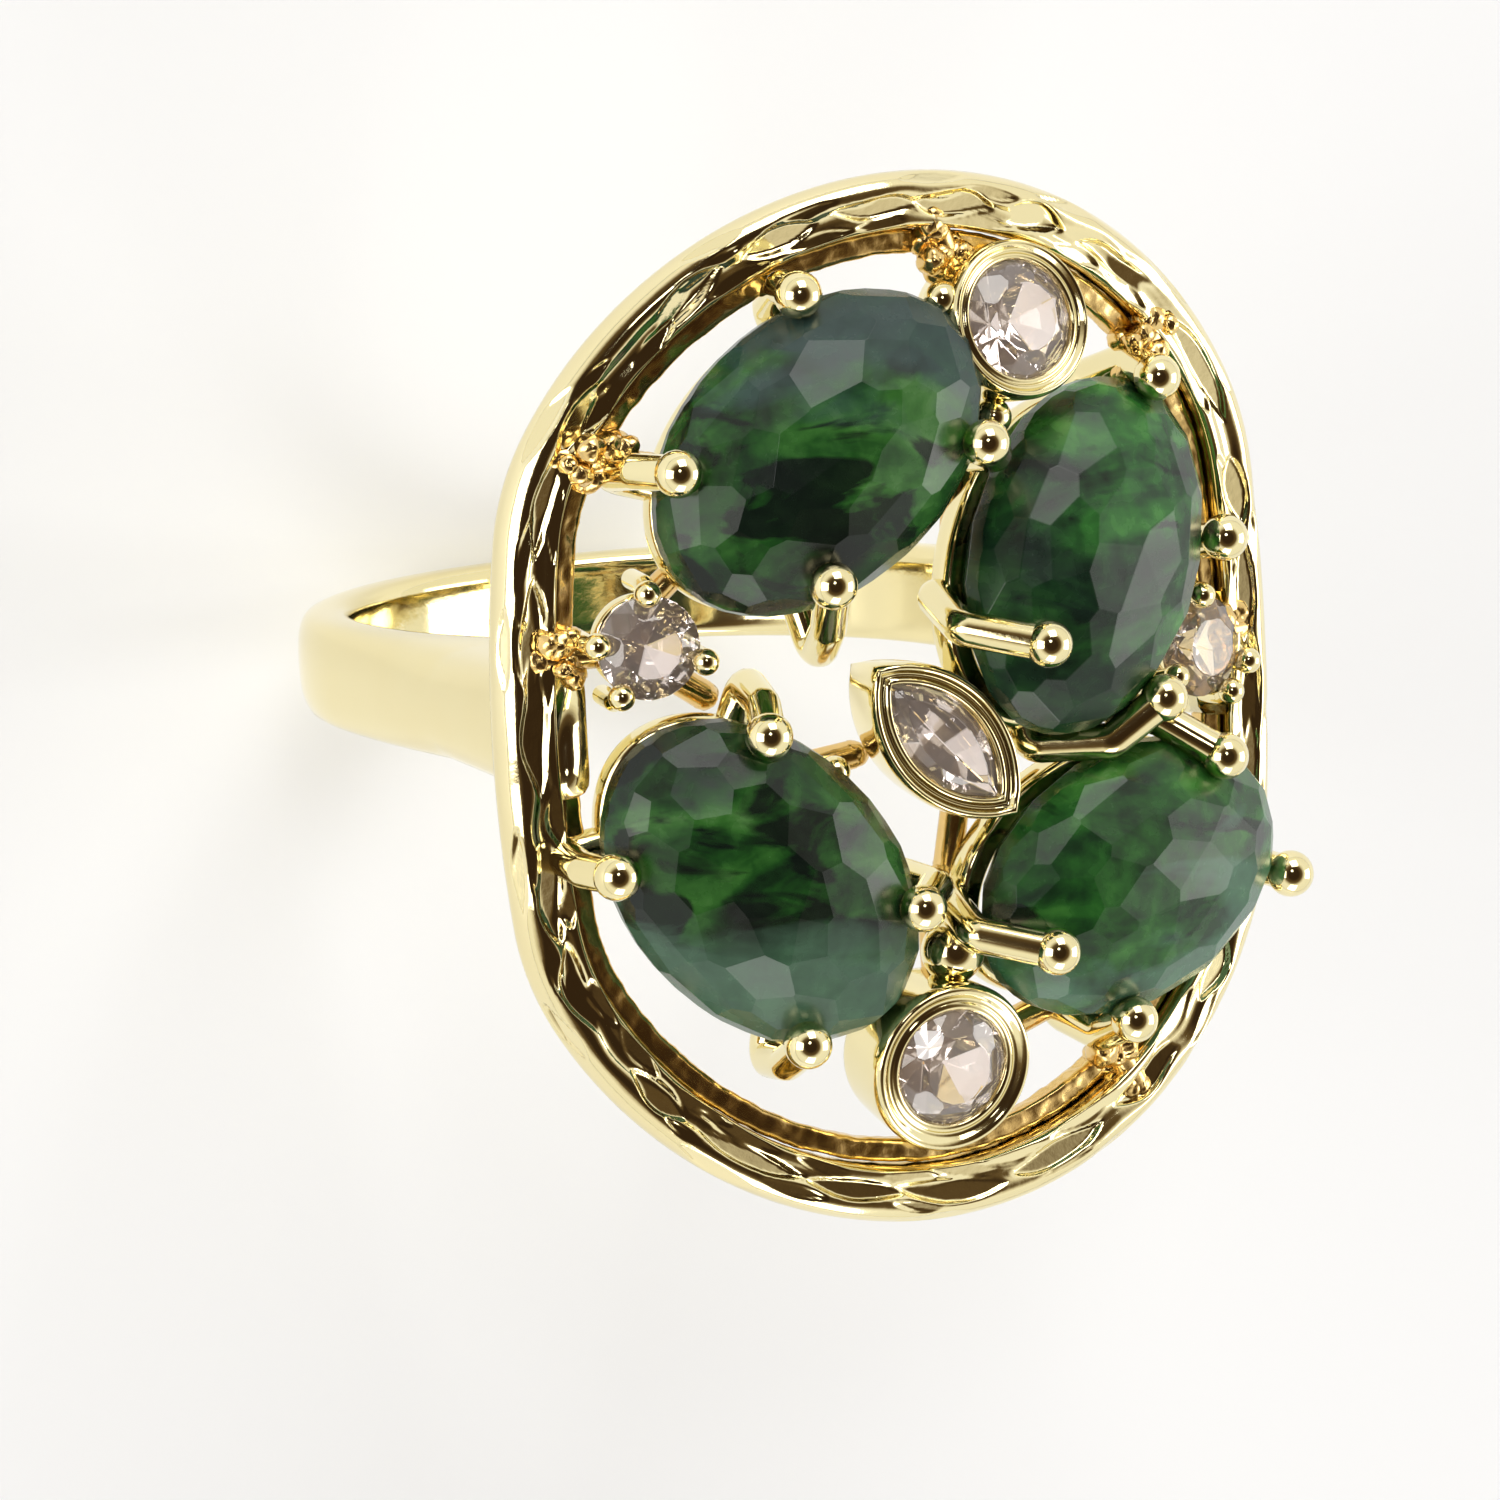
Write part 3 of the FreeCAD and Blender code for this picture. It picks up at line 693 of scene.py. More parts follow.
# %% [markdown]
# ## Cutting stones
# A lapidary grinds flats into a lump, and the mesh is made the same way: a block is cut
# by one plane after another, and what stays behind every plane is the stone.  A facet is
# then a true flat with crisp edges, whatever its number of sides.  The green ovals have
# rows of rather uneven facets over a low dome, a thin girdle and a shallow base.

# %% Plane cutter
EDGE_WEAR = 0.02
CUT_TOLERANCE, MERGE_DISTANCE = 1e-5, 1e-4


def cut_stone(planes, block):
    """Closed faceted mesh of what lies behind every (normal, distance) plane."""
    cutter = bmesh.new()
    bmesh.ops.create_cube(cutter, size=2 * block)
    for normal, distance in planes:
        normal = np.array(normal, float) / np.linalg.norm(normal)
        everything = cutter.verts[:] + cutter.edges[:] + cutter.faces[:]
        cut = bmesh.ops.bisect_plane(cutter, geom=everything, dist=CUT_TOLERANCE,
                                     plane_co=tuple(normal * distance),
                                     plane_no=tuple(normal), clear_outer=True)
        rim = [e for e in cut["geom_cut"] if isinstance(e, bmesh.types.BMEdge)]
        if rim:
            bmesh.ops.contextual_create(cutter, geom=rim)
    bmesh.ops.remove_doubles(cutter, verts=cutter.verts[:], dist=MERGE_DISTANCE)
    bmesh.ops.dissolve_degenerate(cutter, edges=cutter.edges[:], dist=MERGE_DISTANCE)
    bmesh.ops.bevel(cutter, geom=cutter.edges[:], offset=EDGE_WEAR, segments=1,
                    affect="EDGES", clamp_overlap=True)
    cutter.verts.ensure_lookup_table()
    points = np.array([v.co[:] for v in cutter.verts])
    faces = [tuple(v.index for v in face.verts) for face in cutter.faces]
    cutter.free()
    return points, faces


def tangent_plane(half_axes, azimuth, polar, sink=0.0):
    """Plane that touches an ellipsoid at two angles, sunk in by a little."""
    a, b, c = half_axes
    point = np.array([a * math.sin(polar) * math.cos(azimuth),
                      b * math.sin(polar) * math.sin(azimuth), c * math.cos(polar)])
    normal = point / np.array([a * a, b * b, c * c])
    normal /= np.linalg.norm(normal)
    return normal, float(normal @ point) - sink


print("plane cutter ready")

# %% Green oval stones
OVAL_A, OVAL_B, DOME_HEIGHT = 5.0, 3.5, 2.35
OVAL_BLOCK = 8.0
PAVILION_DEPTH, GIRDLE_HALF, FOOT_SHARE = 1.2, 0.15, 0.8
GIRDLE_FACETS, PAVILION_FACETS = 40, 18
# rows of dome facets: degrees from the top and number of facets
FACET_ROWS = [(12, 5), (30, 9), (47, 13), (63, 15), (78, 18)]
# how uneven they are: round the stone, in degrees of lean, and in depth
FACET_STRAY, FACET_LEAN, FACET_SINK = 0.22, 3.5, (-0.02, 0.05)
FIRST_STONE_SEED = 11


def oval_stone_planes(seed):
    """Girdle, base and uneven dome facets of one oval stone."""
    rng = np.random.default_rng(seed)
    planes = [((0, 0, -1), PAVILION_DEPTH)]
    for k in range(GIRDLE_FACETS):
        planes.append(tangent_plane((OVAL_A, OVAL_B, 1), math.tau * k / GIRDLE_FACETS,
                                    math.pi / 2))
    for k in range(PAVILION_FACETS):
        t = math.tau * (k + 0.5) / PAVILION_FACETS
        rim = np.array([OVAL_A * math.cos(t), OVAL_B * math.sin(t), -GIRDLE_HALF])
        foot = np.array([FOOT_SHARE * rim[0], FOOT_SHARE * rim[1], -PAVILION_DEPTH])
        normal = np.cross((-OVAL_A * math.sin(t), OVAL_B * math.cos(t), 0), rim - foot)
        normal /= np.linalg.norm(normal)
        if normal @ rim < 0:
            normal = -normal
        planes.append((normal, float(normal @ rim)))
    dome = (OVAL_A, OVAL_B, DOME_HEIGHT)
    for row, (polar, count) in enumerate(FACET_ROWS):
        for k in range(count):
            stray = rng.uniform(-FACET_STRAY, FACET_STRAY)
            azimuth = math.tau * (k + 0.5 * (row % 2) + stray) / count
            lean = math.radians(polar + rng.uniform(-FACET_LEAN, FACET_LEAN))
            planes.append(tangent_plane(dome, azimuth, lean, rng.uniform(*FACET_SINK)))
    return planes


def make_oval_stones():
    for number, (side, seat) in enumerate(OVAL_SEATS.items()):
        planes = oval_stone_planes(FIRST_STONE_SEED + number)
        points, faces = cut_stone(planes, OVAL_BLOCK)
        name = side + "_oval_stone_cut"
        mesh = mesh_from(name, seat.place(points), faces, False)
        finish_piece(name, mesh, "green_stone", [side + "_oval_stone"],
                     GREEN_STONES[side])


make_oval_stones()

# %% [markdown]
# The round clear stones are brilliants: a table, eight main facets, stars and girdle
# facets above, mains and lower girdle facets below.  Each kind is a ring of planes with
# one slope.  The pointed stone takes its facets along its own outline of two arcs.

# %% Clear stones
ROUND_RADIUS, ACCENT_RADIUS = 1.6, 1.35
MARQUISE_A, MARQUISE_B, MARQUISE_TABLE = 2.15, 1.0, 0.35
CLEAR_BLOCK = 4.0
# as shares of a round stone's radius
TABLE_HEIGHT, TABLE_SHARE, GIRDLE = 0.36, 0.56, 0.06
# rings of facets: count, turn in steps, slope, and the shares of reach and height
BRILLIANT_RINGS = [(32, 0.5, 90.0, 1.0, GIRDLE), (8, 0.0, 34.3, 1.0, GIRDLE),
                   (8, 0.5, 21.0, TABLE_SHARE, TABLE_HEIGHT),
                   (16, 0.5, 41.0, 0.985, GIRDLE), (8, 0.0, 35.8, 1.0, -GIRDLE),
                   (16, 0.5, 38.6, 0.985, -GIRDLE)]
MARQUISE_FACETS, MARQUISE_SLOPES = 9, ((38.0, 0.05), (-39.0, -0.05))


def ring_of_planes(count, offset, slope, radius, height):
    """Planes of one slope from the vertical through a circle, up or down."""
    planes = []
    rise = math.cos(math.radians(slope)) * (1 if height > 0 else -1)
    run = math.sin(math.radians(slope))
    for k in range(count):
        t = math.tau * (k + offset) / count
        normal = np.array([run * math.cos(t), run * math.sin(t), rise])
        planes.append((normal, run * radius + rise * height))
    return planes


def brilliant_planes(radius):
    planes = [((0, 0, 1), TABLE_HEIGHT * radius)]
    for count, offset, slope, reach, height in BRILLIANT_RINGS:
        planes += ring_of_planes(count, offset, slope, reach * radius, height * radius)
    return planes


def pointed_arc(a, b):
    """Radius and half sweep of the arcs of a pointed outline with these half axes."""
    radius = (a * a + b * b) / (2 * b)
    return radius, math.asin(a / radius)


def marquise_planes():
    """Table, and along two arcs the girdle, one row of crown and one of pavilion."""
    radius, sweep = pointed_arc(MARQUISE_A, MARQUISE_B)
    planes = [((0, 0, 1), MARQUISE_TABLE)]
    for side in (1, -1):
        for angle in np.linspace(-sweep, sweep, MARQUISE_FACETS):
            flat = np.array([math.sin(angle), side * math.cos(angle), 0.0])
            reach = radius * math.cos(angle) - radius + MARQUISE_B
            rim = float(flat[:2] @ [radius * flat[0], side * reach])
            planes.append((flat, rim))
            for slope, height in MARQUISE_SLOPES:
                run = math.sin(math.radians(abs(slope)))
                rise = math.copysign(math.cos(math.radians(slope)), slope)
                normal = flat * run + np.array([0, 0, rise])
                planes.append((normal, run * rim + rise * height))
    return planes


def make_clear_stones():
    jobs = [(side + "_round_stone", brilliant_planes(ROUND_RADIUS), seat)
            for side, seat in BEZEL_SEATS.items()]
    jobs += [(side + "_accent_stone", brilliant_planes(ACCENT_RADIUS), seat)
             for side, seat in ACCENT_SEATS.items()]
    jobs.append(("marquise_stone", marquise_planes(), MARQUISE_SEAT))
    for node, planes, seat in jobs:
        points, faces = cut_stone(planes, CLEAR_BLOCK)
        mesh = mesh_from(node + "_cut", seat.place(points), faces, False)
        finish_piece(node + "_cut", mesh, "clear_stone", [node])


make_clear_stones()

# %% [markdown]
# ## Cups and seat wires
# The round cups are turned on a lathe, so a profile is spun round the stone's axis.  The
# pointed cup has the same kind of profile, swept along two arcs.  The oval stones rest
# on flat oval wires.  All of them are a closed profile carried round a closed path, so
# one function serves: it needs the path's point and outward normal at each step.

# %% Profiles carried round a path
CIRCLE_STEPS, COLLET_STEPS, POINTED_STEPS = 96, 64, 34
TIP_REACH = 1.25
LEDGE_SHARE, CUP_DEPTH = 0.78, 2.0


def carry_profile(profile, path, seat):
    """Sweeps (outward, up) knots round a flat path in a seat's frame."""
    rows = []
    for point, normal in zip(*path):
        rows.append([(point[0] + normal[0] * out, point[1] + normal[1] * out, up)
                     for out, up in profile])
    points = np.array(rows)
    faces = grid_faces(points.shape[0], points.shape[1], True)
    return seat.place(points.reshape(-1, 3)), faces


def make_carried(name, profile, path, seat, node):
    """A polished piece for one node: its profile carried round its path."""
    points, faces = carry_profile(profile, path, seat)
    mesh = mesh_from(name, points, faces, True)
    return finish_piece(name, mesh, "polished_gold", [node])


def circle_path(count):
    t = np.linspace(0, math.tau, count, endpoint=False)
    ray = np.stack([np.cos(t), np.sin(t)], axis=1)
    return np.zeros_like(ray), ray


def ellipse_path(a, b, count):
    t = np.linspace(0, math.tau, count, endpoint=False)
    normal = np.stack([np.cos(t) / a, np.sin(t) / b], axis=1)
    normal /= np.linalg.norm(normal, axis=1, keepdims=True)
    return np.stack([a * np.cos(t), b * np.sin(t)], axis=1), normal


def pointed_path(a, b, count):
    """Outline of two arcs, with its normals eased at the two points."""
    radius, sweep = pointed_arc(a, b)
    path, normals = [], []
    for side in (1, -1):
        for angle in np.linspace(-sweep, sweep, count, endpoint=False)[1:]:
            normal = np.array([math.sin(angle), math.cos(angle)])
            path.append(side * np.array([radius * normal[0],
                                         radius * normal[1] - radius + b]))
            normals.append(side * normal)
        tip = side * np.array([a, 0.0])
        path.append(tip)
        normals.append(tip / a * TIP_REACH)
    return np.array(path), np.array(normals)


def round_cup_profile(radius):
    """Cup with an outer ridge, a groove, and a thin lip rubbed over the stone."""
    ledge, depth, wall = LEDGE_SHARE * ROUND_RADIUS, CUP_DEPTH, radius - ROUND_RADIUS
    return closed_curve([
        (ledge, -depth), (radius - 0.32, -depth), (radius - 0.19, -depth + 0.08),
        (radius - 0.10, -1.1), (radius - 0.02, -0.1), (radius - 0.02, 0.16),
        (radius - 0.10, 0.33), (radius - 0.26 * wall, 0.38),
        (radius - 0.48 * wall, 0.26), (ROUND_RADIUS + 0.32 * wall, 0.16),
        (ROUND_RADIUS + 0.22 * wall, 0.24), (ROUND_RADIUS + 0.08 * wall, 0.28),
        (ROUND_RADIUS - 0.05, 0.16), (ROUND_RADIUS - 0.02, -0.12), (ledge + 0.06, -0.56),
        (ledge, -0.75), (ledge, -1.4)], 64)


def make_round_cups():
    for side, seat in BEZEL_SEATS.items():
        make_carried(side + "_round_bezel_turned", round_cup_profile(ROUND_BEZELS[side][3]),
                     circle_path(CIRCLE_STEPS), seat, side + "_round_bezel")


make_round_cups()

# %% Pointed cup and seat wires
SEAT_WIRE, SEAT_INSET = 0.8, 0.2


def make_pointed_cup():
    profile = closed_curve([
        (0.42, -1.70), (0.30, -1.64), (-0.10, -1.62), (-0.22, -1.5), (-0.22, -0.45),
        (-0.10, -0.25), (0.00, 0.02), (0.04, 0.24), (0.13, 0.29), (0.20, 0.20),
        (0.27, 0.13), (0.35, 0.20), (0.42, 0.33), (0.51, 0.34), (0.58, 0.18),
        (0.60, -0.06), (0.54, -0.90)], 60)
    path = pointed_path(MARQUISE_A, MARQUISE_B, POINTED_STEPS)
    return make_carried("marquise_bezel_finished", profile, path, MARQUISE_SEAT,
                        "marquise_bezel")


def make_seat_wires():
    low = -PAVILION_DEPTH - SEAT_WIRE
    profile = closed_curve([
        (0.0, low + 0.4), (-0.06, low + 0.1), (-0.2, low), (-0.6, low), (-0.74, low + 0.1),
        (-0.8, low + 0.4), (-0.74, low + 0.7), (-0.6, low + 0.8), (-0.2, low + 0.8),
        (-0.06, low + 0.7)], 28)
    for side, seat in OVAL_SEATS.items():
        path = ellipse_path(OVAL_A - SEAT_INSET, OVAL_B - SEAT_INSET, CIRCLE_STEPS)
        make_carried(side + "_seat_wire", profile, path, seat, side + "_seat")


def make_collets():
    profile = closed_curve([
        (1.30, -1.05), (1.26, -1.30), (1.15, -1.35), (0.95, -1.35), (0.84, -1.28),
        (0.80, -1.05), (0.84, -0.82), (0.95, -0.75), (1.15, -0.75), (1.26, -0.80)], 28)
    for side, seat in ACCENT_SEATS.items():
        make_carried(side + "_accent_collet_turned", profile, circle_path(COLLET_STEPS),
                     seat, side + "_accent_collet")


make_pointed_cup()
make_seat_wires()
make_collets()

# %% [markdown]
# ## Wires by Geometry Nodes
# Claws and struts all follow the same rule: a round wire along a short bent route, with
# a melted ball where it ends.  One node tree makes them all.  Its input mesh holds only
# the routes as edges, with a mark on the points that carry a ball.  The tree turns the
# edges into curves, rounds the bends, gives them a round section, sets a ball on each
# marked point, and joins everything into real geometry with its metal.

# %% Wire tree
LUMP_SCALE, LUMP_LEVEL = 1900.0, 0.6
SMALLEST_BALL = 0.01


def new_shape_tree(name, result, route, sizes):
    """Tree from a route, some sizes with their defaults, and a metal, to one shape."""
    group = bpy.data.node_groups.new(name, "GeometryNodeTree")
    group.interface.new_socket(result, in_out="OUTPUT", socket_type="NodeSocketGeometry")
    group.interface.new_socket(route, in_out="INPUT", socket_type="NodeSocketGeometry")
    for label, default in sizes.items():
        socket = group.interface.new_socket(label, in_out="INPUT",
                                            socket_type="NodeSocketFloat")
        socket.default_value = default
    group.interface.new_socket("Metal", in_out="INPUT", socket_type="NodeSocketMaterial")
    tree = Tree(group)
    entry = group.nodes.new("NodeGroupInput")
    return tree, [Value(tree, entry.outputs[i]) for i in range(len(sizes) + 2)]


def end_in_metal(tree, geometry, depth, metal):
    """Ends a tree: real and smooth, pushed in and out by noise as casting leaves it."""
    real = tree.node("GeometryNodeRealizeInstances", {}, {"Geometry": geometry})
    smooth = tree.node("GeometryNodeSetShadeSmooth", {}, {"Geometry": real})
    lumps = noise(tree, tree.node("GeometryNodeInputPosition"), LUMP_SCALE, 4.0)
    push = tree.node("ShaderNodeVectorMath", {"operation": "SCALE"}, {
        0: tree.node("GeometryNodeInputNormal"), "Scale": (lumps - LUMP_LEVEL) * depth})
    lumpy = tree.node("GeometryNodeSetPosition", {}, {"Geometry": smooth, "Offset": push})
    plated = tree.node("GeometryNodeSetMaterial", {}, {
        "Geometry": lumpy, "Material": metal})
    tree.node("NodeGroupOutput", {}, {0: plated})


def make_wire_tree():
    """Round wires along marked routes, with sockets for every size."""
    tree, values = new_shape_tree("balled_wires", "Wires", "Routes", {
        "Wire Radius": 0.0005, "Ball Radius": 0.0006, "Bend Radius": 0.0004,
        "Cast Depth": 0.0})
    routes, wire, ball, bend, depth, metal = values
    curves = tree.node("GeometryNodeMeshToCurve", {}, {"Mesh": routes})
    bent = tree.node("GeometryNodeFilletCurve", {"mode": "POLY"}, {
        "Curve": curves, "Radius": bend, "Count": 7, "Limit Radius": True})
    section = tree.node("GeometryNodeCurvePrimitiveCircle", {}, {
        "Resolution": 24, "Radius": wire})
    wires = tree.node("GeometryNodeCurveToMesh", {}, {
        "Curve": bent, "Profile Curve": section, "Fill Caps": True})
    marked = tree.node("GeometryNodeInputNamedAttribute", {"data_type": "FLOAT"}, {
        "Name": "ball_size"})
    bead = tree.node("GeometryNodeMeshUVSphere", {}, {
        "Segments": 26, "Rings": 16, "Radius": ball})
    has_ball = tree.node("FunctionNodeCompare", {"data_type": "FLOAT",
                                                 "operation": "GREATER_THAN"},
                         {0: marked, 1: SMALLEST_BALL})
    balls = tree.node("GeometryNodeInstanceOnPoints", {}, {
        "Points": routes, "Selection": has_ball, "Instance": bead, "Scale": marked})
    joined = tree.node("GeometryNodeJoinGeometry", {}, {"Geometry": [wires, balls]})
    end_in_metal(tree, joined, depth, metal)
    return tree.tree


WIRE_TREE = make_wire_tree()
print("wire tree nodes", len(WIRE_TREE.nodes))

# %% Running the tree
def evaluated_mesh(name, base, group, values):
    """Plain mesh of a node tree run on a base mesh, with its inputs by name."""
    holder = bpy.data.objects.new(name + "_routes", base)
    bpy.context.scene.collection.objects.link(holder)
    modifier = holder.modifiers.new("tree", "NODES")
    modifier.node_group = group
    for item in group.interface.items_tree:
        if item.item_type == "SOCKET" and item.name in values:
            modifier[item.identifier] = values[item.name]
    bpy.context.view_layer.update()
    shown = holder.evaluated_get(bpy.context.evaluated_depsgraph_get())
    mesh = bpy.data.meshes.new_from_object(shown)
    mesh.name = name
    holder.modifiers.clear()
    bpy.data.objects.remove(holder)
    return mesh


def route_mesh(name, routes):
    """Edges along routes; a route is a list of points and a list of ball sizes."""
    points, edges, sizes = [], [], []
    for stops, balls in routes:
        first = len(points)
        points += [tuple(np.asarray(p) * MM) for p in stops]
        edges += [(first + i, first + i + 1) for i in range(len(stops) - 1)]
        sizes += balls
    mesh = bpy.data.meshes.new(name)
    mesh.from_pydata(points, edges, [])
    mark = mesh.attributes.new("ball_size", "FLOAT", "POINT")
    mark.data.foreach_set("value", sizes)
    return mesh


def make_wires(name, routes, wire, ball, bend, nodes, slot="polished_gold", lumps=0.0):
    """One piece of wires from the tree, standing for its design nodes."""
    mesh = evaluated_mesh(name, route_mesh(name, routes), WIRE_TREE, {
        "Wire Radius": wire * MM, "Ball Radius": ball * MM, "Bend Radius": bend * MM,
        "Cast Depth": lumps * MM, "Metal": FINISHES[slot]})
    return finish_piece(name, mesh, slot, nodes)


print("tree runner ready")

# %% [markdown]
# ## Claws
# Each oval stone is held by four wires.  A claw leaves the seat wire, passes outside the
# girdle and leans in over the dome, where its end was melted into a ball.  Its numbers
# are the ball's place round the girdle, how far it reaches in over the dome, how far its
# foot stands out, and the turn from the ball's place to the foot's.

# %% Claw routes
# each claw: degrees round the girdle, reach, how far out the foot is, and its turn
CLAWS = {
    "upper_left": {"top": (67, -0.2, 0.2, 0), "right": (310, 0.2, 0.1, 0),
                   "bottom": (238, 0.7, 1.3, 0), "left": (137, 0.35, 0.9, 0)},
    "lower_left": {"top": (130, 0.1, 0.8, 0), "right": (50, 0.4, 0.1, 0),
                   "bottom": (318, 0.5, 1.0, 0), "left": (227, 0.1, 0.8, 0)},
    "upper_right": {"top": (9, 0.2, 0.3, 0), "right": (296, -0.5, 0.2, 0),
                    "bottom": (239, -0.2, 0.2, -35), "left": (146, 1.0, -0.1, -24)},
    "lower_right": {"top": (55, 0.4, 1.2, 30), "right": (336, -0.4, 0.3, 0),
                    "bottom": (251, 0.2, 0.3, 0), "left": (183, 1.0, 0.0, -19)},
}
CLAW_WIRE, CLAW_BALL, CLAW_BEND = 0.48, 0.63, 0.45
CLAW_FOOT_IN, CLAW_CLEARANCE, CLAW_BEND_HEIGHT = 0.3, 0.1, 0.2
# the ball's place: a start over the rim, and how it moves in and up with its reach
BALL_OUT, BALL_UP = (0.1, 0.8), (1.3, 0.65)


def rim_point(angle, outward, height):
    """Point at a girdle angle, moved outward along the ellipse's normal."""
    normal = np.array([math.cos(angle) / OVAL_A, math.sin(angle) / OVAL_B, 0.0])
    normal /= np.linalg.norm(normal)
    on_rim = np.array([OVAL_A * math.cos(angle), OVAL_B * math.sin(angle), height])
    return on_rim + normal * outward


def claw_route(degrees, reach, foot_out, foot_turn):
    ball_angle = math.radians(degrees)
    foot_angle = math.radians(degrees + foot_turn)
    level = -PAVILION_DEPTH - SEAT_WIRE / 2
    return [rim_point(foot_angle, -CLAW_FOOT_IN, level),
            rim_point(foot_angle, foot_out, level),
            rim_point((ball_angle + foot_angle) / 2, CLAW_WIRE + CLAW_CLEARANCE,
                      CLAW_BEND_HEIGHT),
            rim_point(ball_angle, BALL_OUT[0] - BALL_OUT[1] * reach,
                      BALL_UP[0] + BALL_UP[1] * reach)]


def make_claws():
    for side, seat in OVAL_SEATS.items():
        routes = [(seat.place(claw_route(*shape)), [0.0, 0.0, 0.0, 1.0])
                  for shape in CLAWS[side].values()]
        make_wires(side + "_claws_balled", routes, CLAW_WIRE, CLAW_BALL, CLAW_BEND,
                   [side + "_claw_" + place for place in CLAWS[side]])


make_claws()

# %% Fine claws of the two small stones
FINE_WIRE, FINE_BALL, FINE_BEND = 0.27, 0.36, 0.15
FINE_GAP, FINE_DROP = 0.02, 1.3
FINE_TIP_OUT, FINE_TIP_UP = 0.1, 0.42


def make_fine_claws():
    for side, seat in ACCENT_SEATS.items():
        routes = []
        for degrees in ACCENTS[side][3]:
            t = math.radians(degrees)
            ray = np.array([math.cos(t), math.sin(t), 0.0])
            out = ray * (ACCENT_RADIUS + FINE_WIRE + FINE_GAP)
            tip = ray * (ACCENT_RADIUS + FINE_TIP_OUT) + np.array([0, 0, FINE_TIP_UP])
            stops = seat.place([out - np.array([0, 0, FINE_DROP]), out, tip])
            routes.append((stops, [0.0, 0.0, 1.0]))
        make_wires(side + "_accent_claws_balled", routes, FINE_WIRE, FINE_BALL, FINE_BEND,
                   [side + "_accent_claws"])


make_fine_claws()

# %% [markdown]
# ## Gallery
# Short struts tie seats, cups, rail and frame together, and four beads fill the gaps.
# The struts use the same wire tree, with a blob of metal at each end, and where the
# high ones meet the frame there is a cluster of spilled grains.  The inner rail is a
# rounded strip along the oval path, made by a second small tree.

# %% Struts and beads
LOW_STRUTS = {
    "top_bezel_to_upper_left": [(1.7, 9.2), (0.4, 8.6)],
    "upper_left_to_upper_right": [(1.9, 5.7), (1.5, 2.6)],
    "upper_right_to_marquise": [(3.4, -1.0), (1.5, -1.3)],
    "marquise_to_lower_right": [(1.3, -3.2), (1.0, -4.7)],
    "marquise_to_lower_left": [(-1.6, -1.4), (-3.2, -1.6)],
    "lower_left_to_bottom_bezel": [(0.5, -5.4), (0.5, -7.5)],
    "lower_right_to_bottom_bezel": [(3.9, -8.8), (1.9, -9.4)],
    "upper_left_to_left_accent": [(-5.9, 4.2), (-7.0, 3.2)],
    "left_accent_to_lower_left": [(-6.8, 1.4), (-5.6, 0.6)],
}
HIGH_STRUTS = {
    "frame_to_top_bezel": [(0.9, 12.6), (1.6, 10.8)],
    "lower_right_to_frame": [(4.9, -8.9), (6.2, -11.2)],
    "upper_left_to_frame": [(-7.3, 6.8), (-9.5, 7.2)],
    "left_accent_to_frame": [(-8.8, 2.1), (-10.2, 2.0)],
    "upper_right_to_frame": [(6.9, 7.9), (8.2, 9.3)],
    "right_accent_to_frame": [(9.2, 0.6), (10.3, 0.6)],
}
BEADS = {"upper": ((2.1, 7.3, 15.4), 0.5), "top": ((0.7, 10.5, 15.5), 0.5),
         "middle": ((-2.9, -1.5, 15.2), 0.42), "lower": ((0.2, -6.6, 15.4), 0.85)}
STRUT_WIRE, STRUT_BALL, STRUT_BEND, STRUT_CAST_DEPTH = 0.42, 0.5, 0.1, 0.34
LOW_DROP, HIGH_DROP, STRUT_END = 1.45, 0.55, 0.85
BEAD_ROUTE_WIRE = 0.1

# grains at each joint with the frame: their place along the strut, stray and size
GRAINS_PER_JOINT, GRAIN_SEED = 22, 23
GRAIN_ALONG, GRAIN_SIZES = (0.25, 0.80), (0.55, 1.0)
GRAIN_SPREAD, GRAIN_STRETCH, GRAIN_LIMITS = 0.34, (1.0, 1.3, 0.6), (-1.5, 1.2)


def make_struts():
    """Struts with blobs at their ends, and spilled grains of metal at the frame."""
    rng = np.random.default_rng(GRAIN_SEED)
    least, most = (limit * GRAIN_SPREAD for limit in GRAIN_LIMITS)
    routes, nodes = [], []
    for drop, struts in ((LOW_DROP, LOW_STRUTS), (HIGH_DROP, HIGH_STRUTS)):
        for name, stops in struts.items():
            line = [np.array([x, y, crown_height(x, drop)]) for x, y in stops]
            routes.append((line, [STRUT_END, STRUT_END]))
            nodes.append("strut_" + name)
            if struts is HIGH_STRUTS:
                for _ in range(GRAINS_PER_JOINT):
                    spot = line[0] + (line[1] - line[0]) * rng.uniform(*GRAIN_ALONG)
                    stray = rng.normal(0.0, GRAIN_SPREAD, 3) * GRAIN_STRETCH
                    spot = spot + np.clip(stray, least, most)
                    routes.append(([spot], [rng.uniform(*GRAIN_SIZES)]))
    # The struts take the cast gold, whose browner colour is partly painted shade of the gallery's
    # crevices.
    make_wires("gallery_struts", routes, STRUT_WIRE, STRUT_BALL, STRUT_BEND, nodes,
               "cast_gold", STRUT_CAST_DEPTH)


def make_beads():
    for name, (centre, radius) in BEADS.items():
        make_wires(name + "_bead_melted", [([centre], [1.0])], BEAD_ROUTE_WIRE, radius,
                   STRUT_BEND, [name + "_bead"])


make_struts()
make_beads()

# %% Inner rail
RAIL_WIDTH, RAIL_DROP, RAIL_HEIGHT = 0.7, 0.75, 0.65
RAIL_SPACING, RAIL_ROUNDING, RAIL_CAST_DEPTH = 0.12, 0.14, 0.14


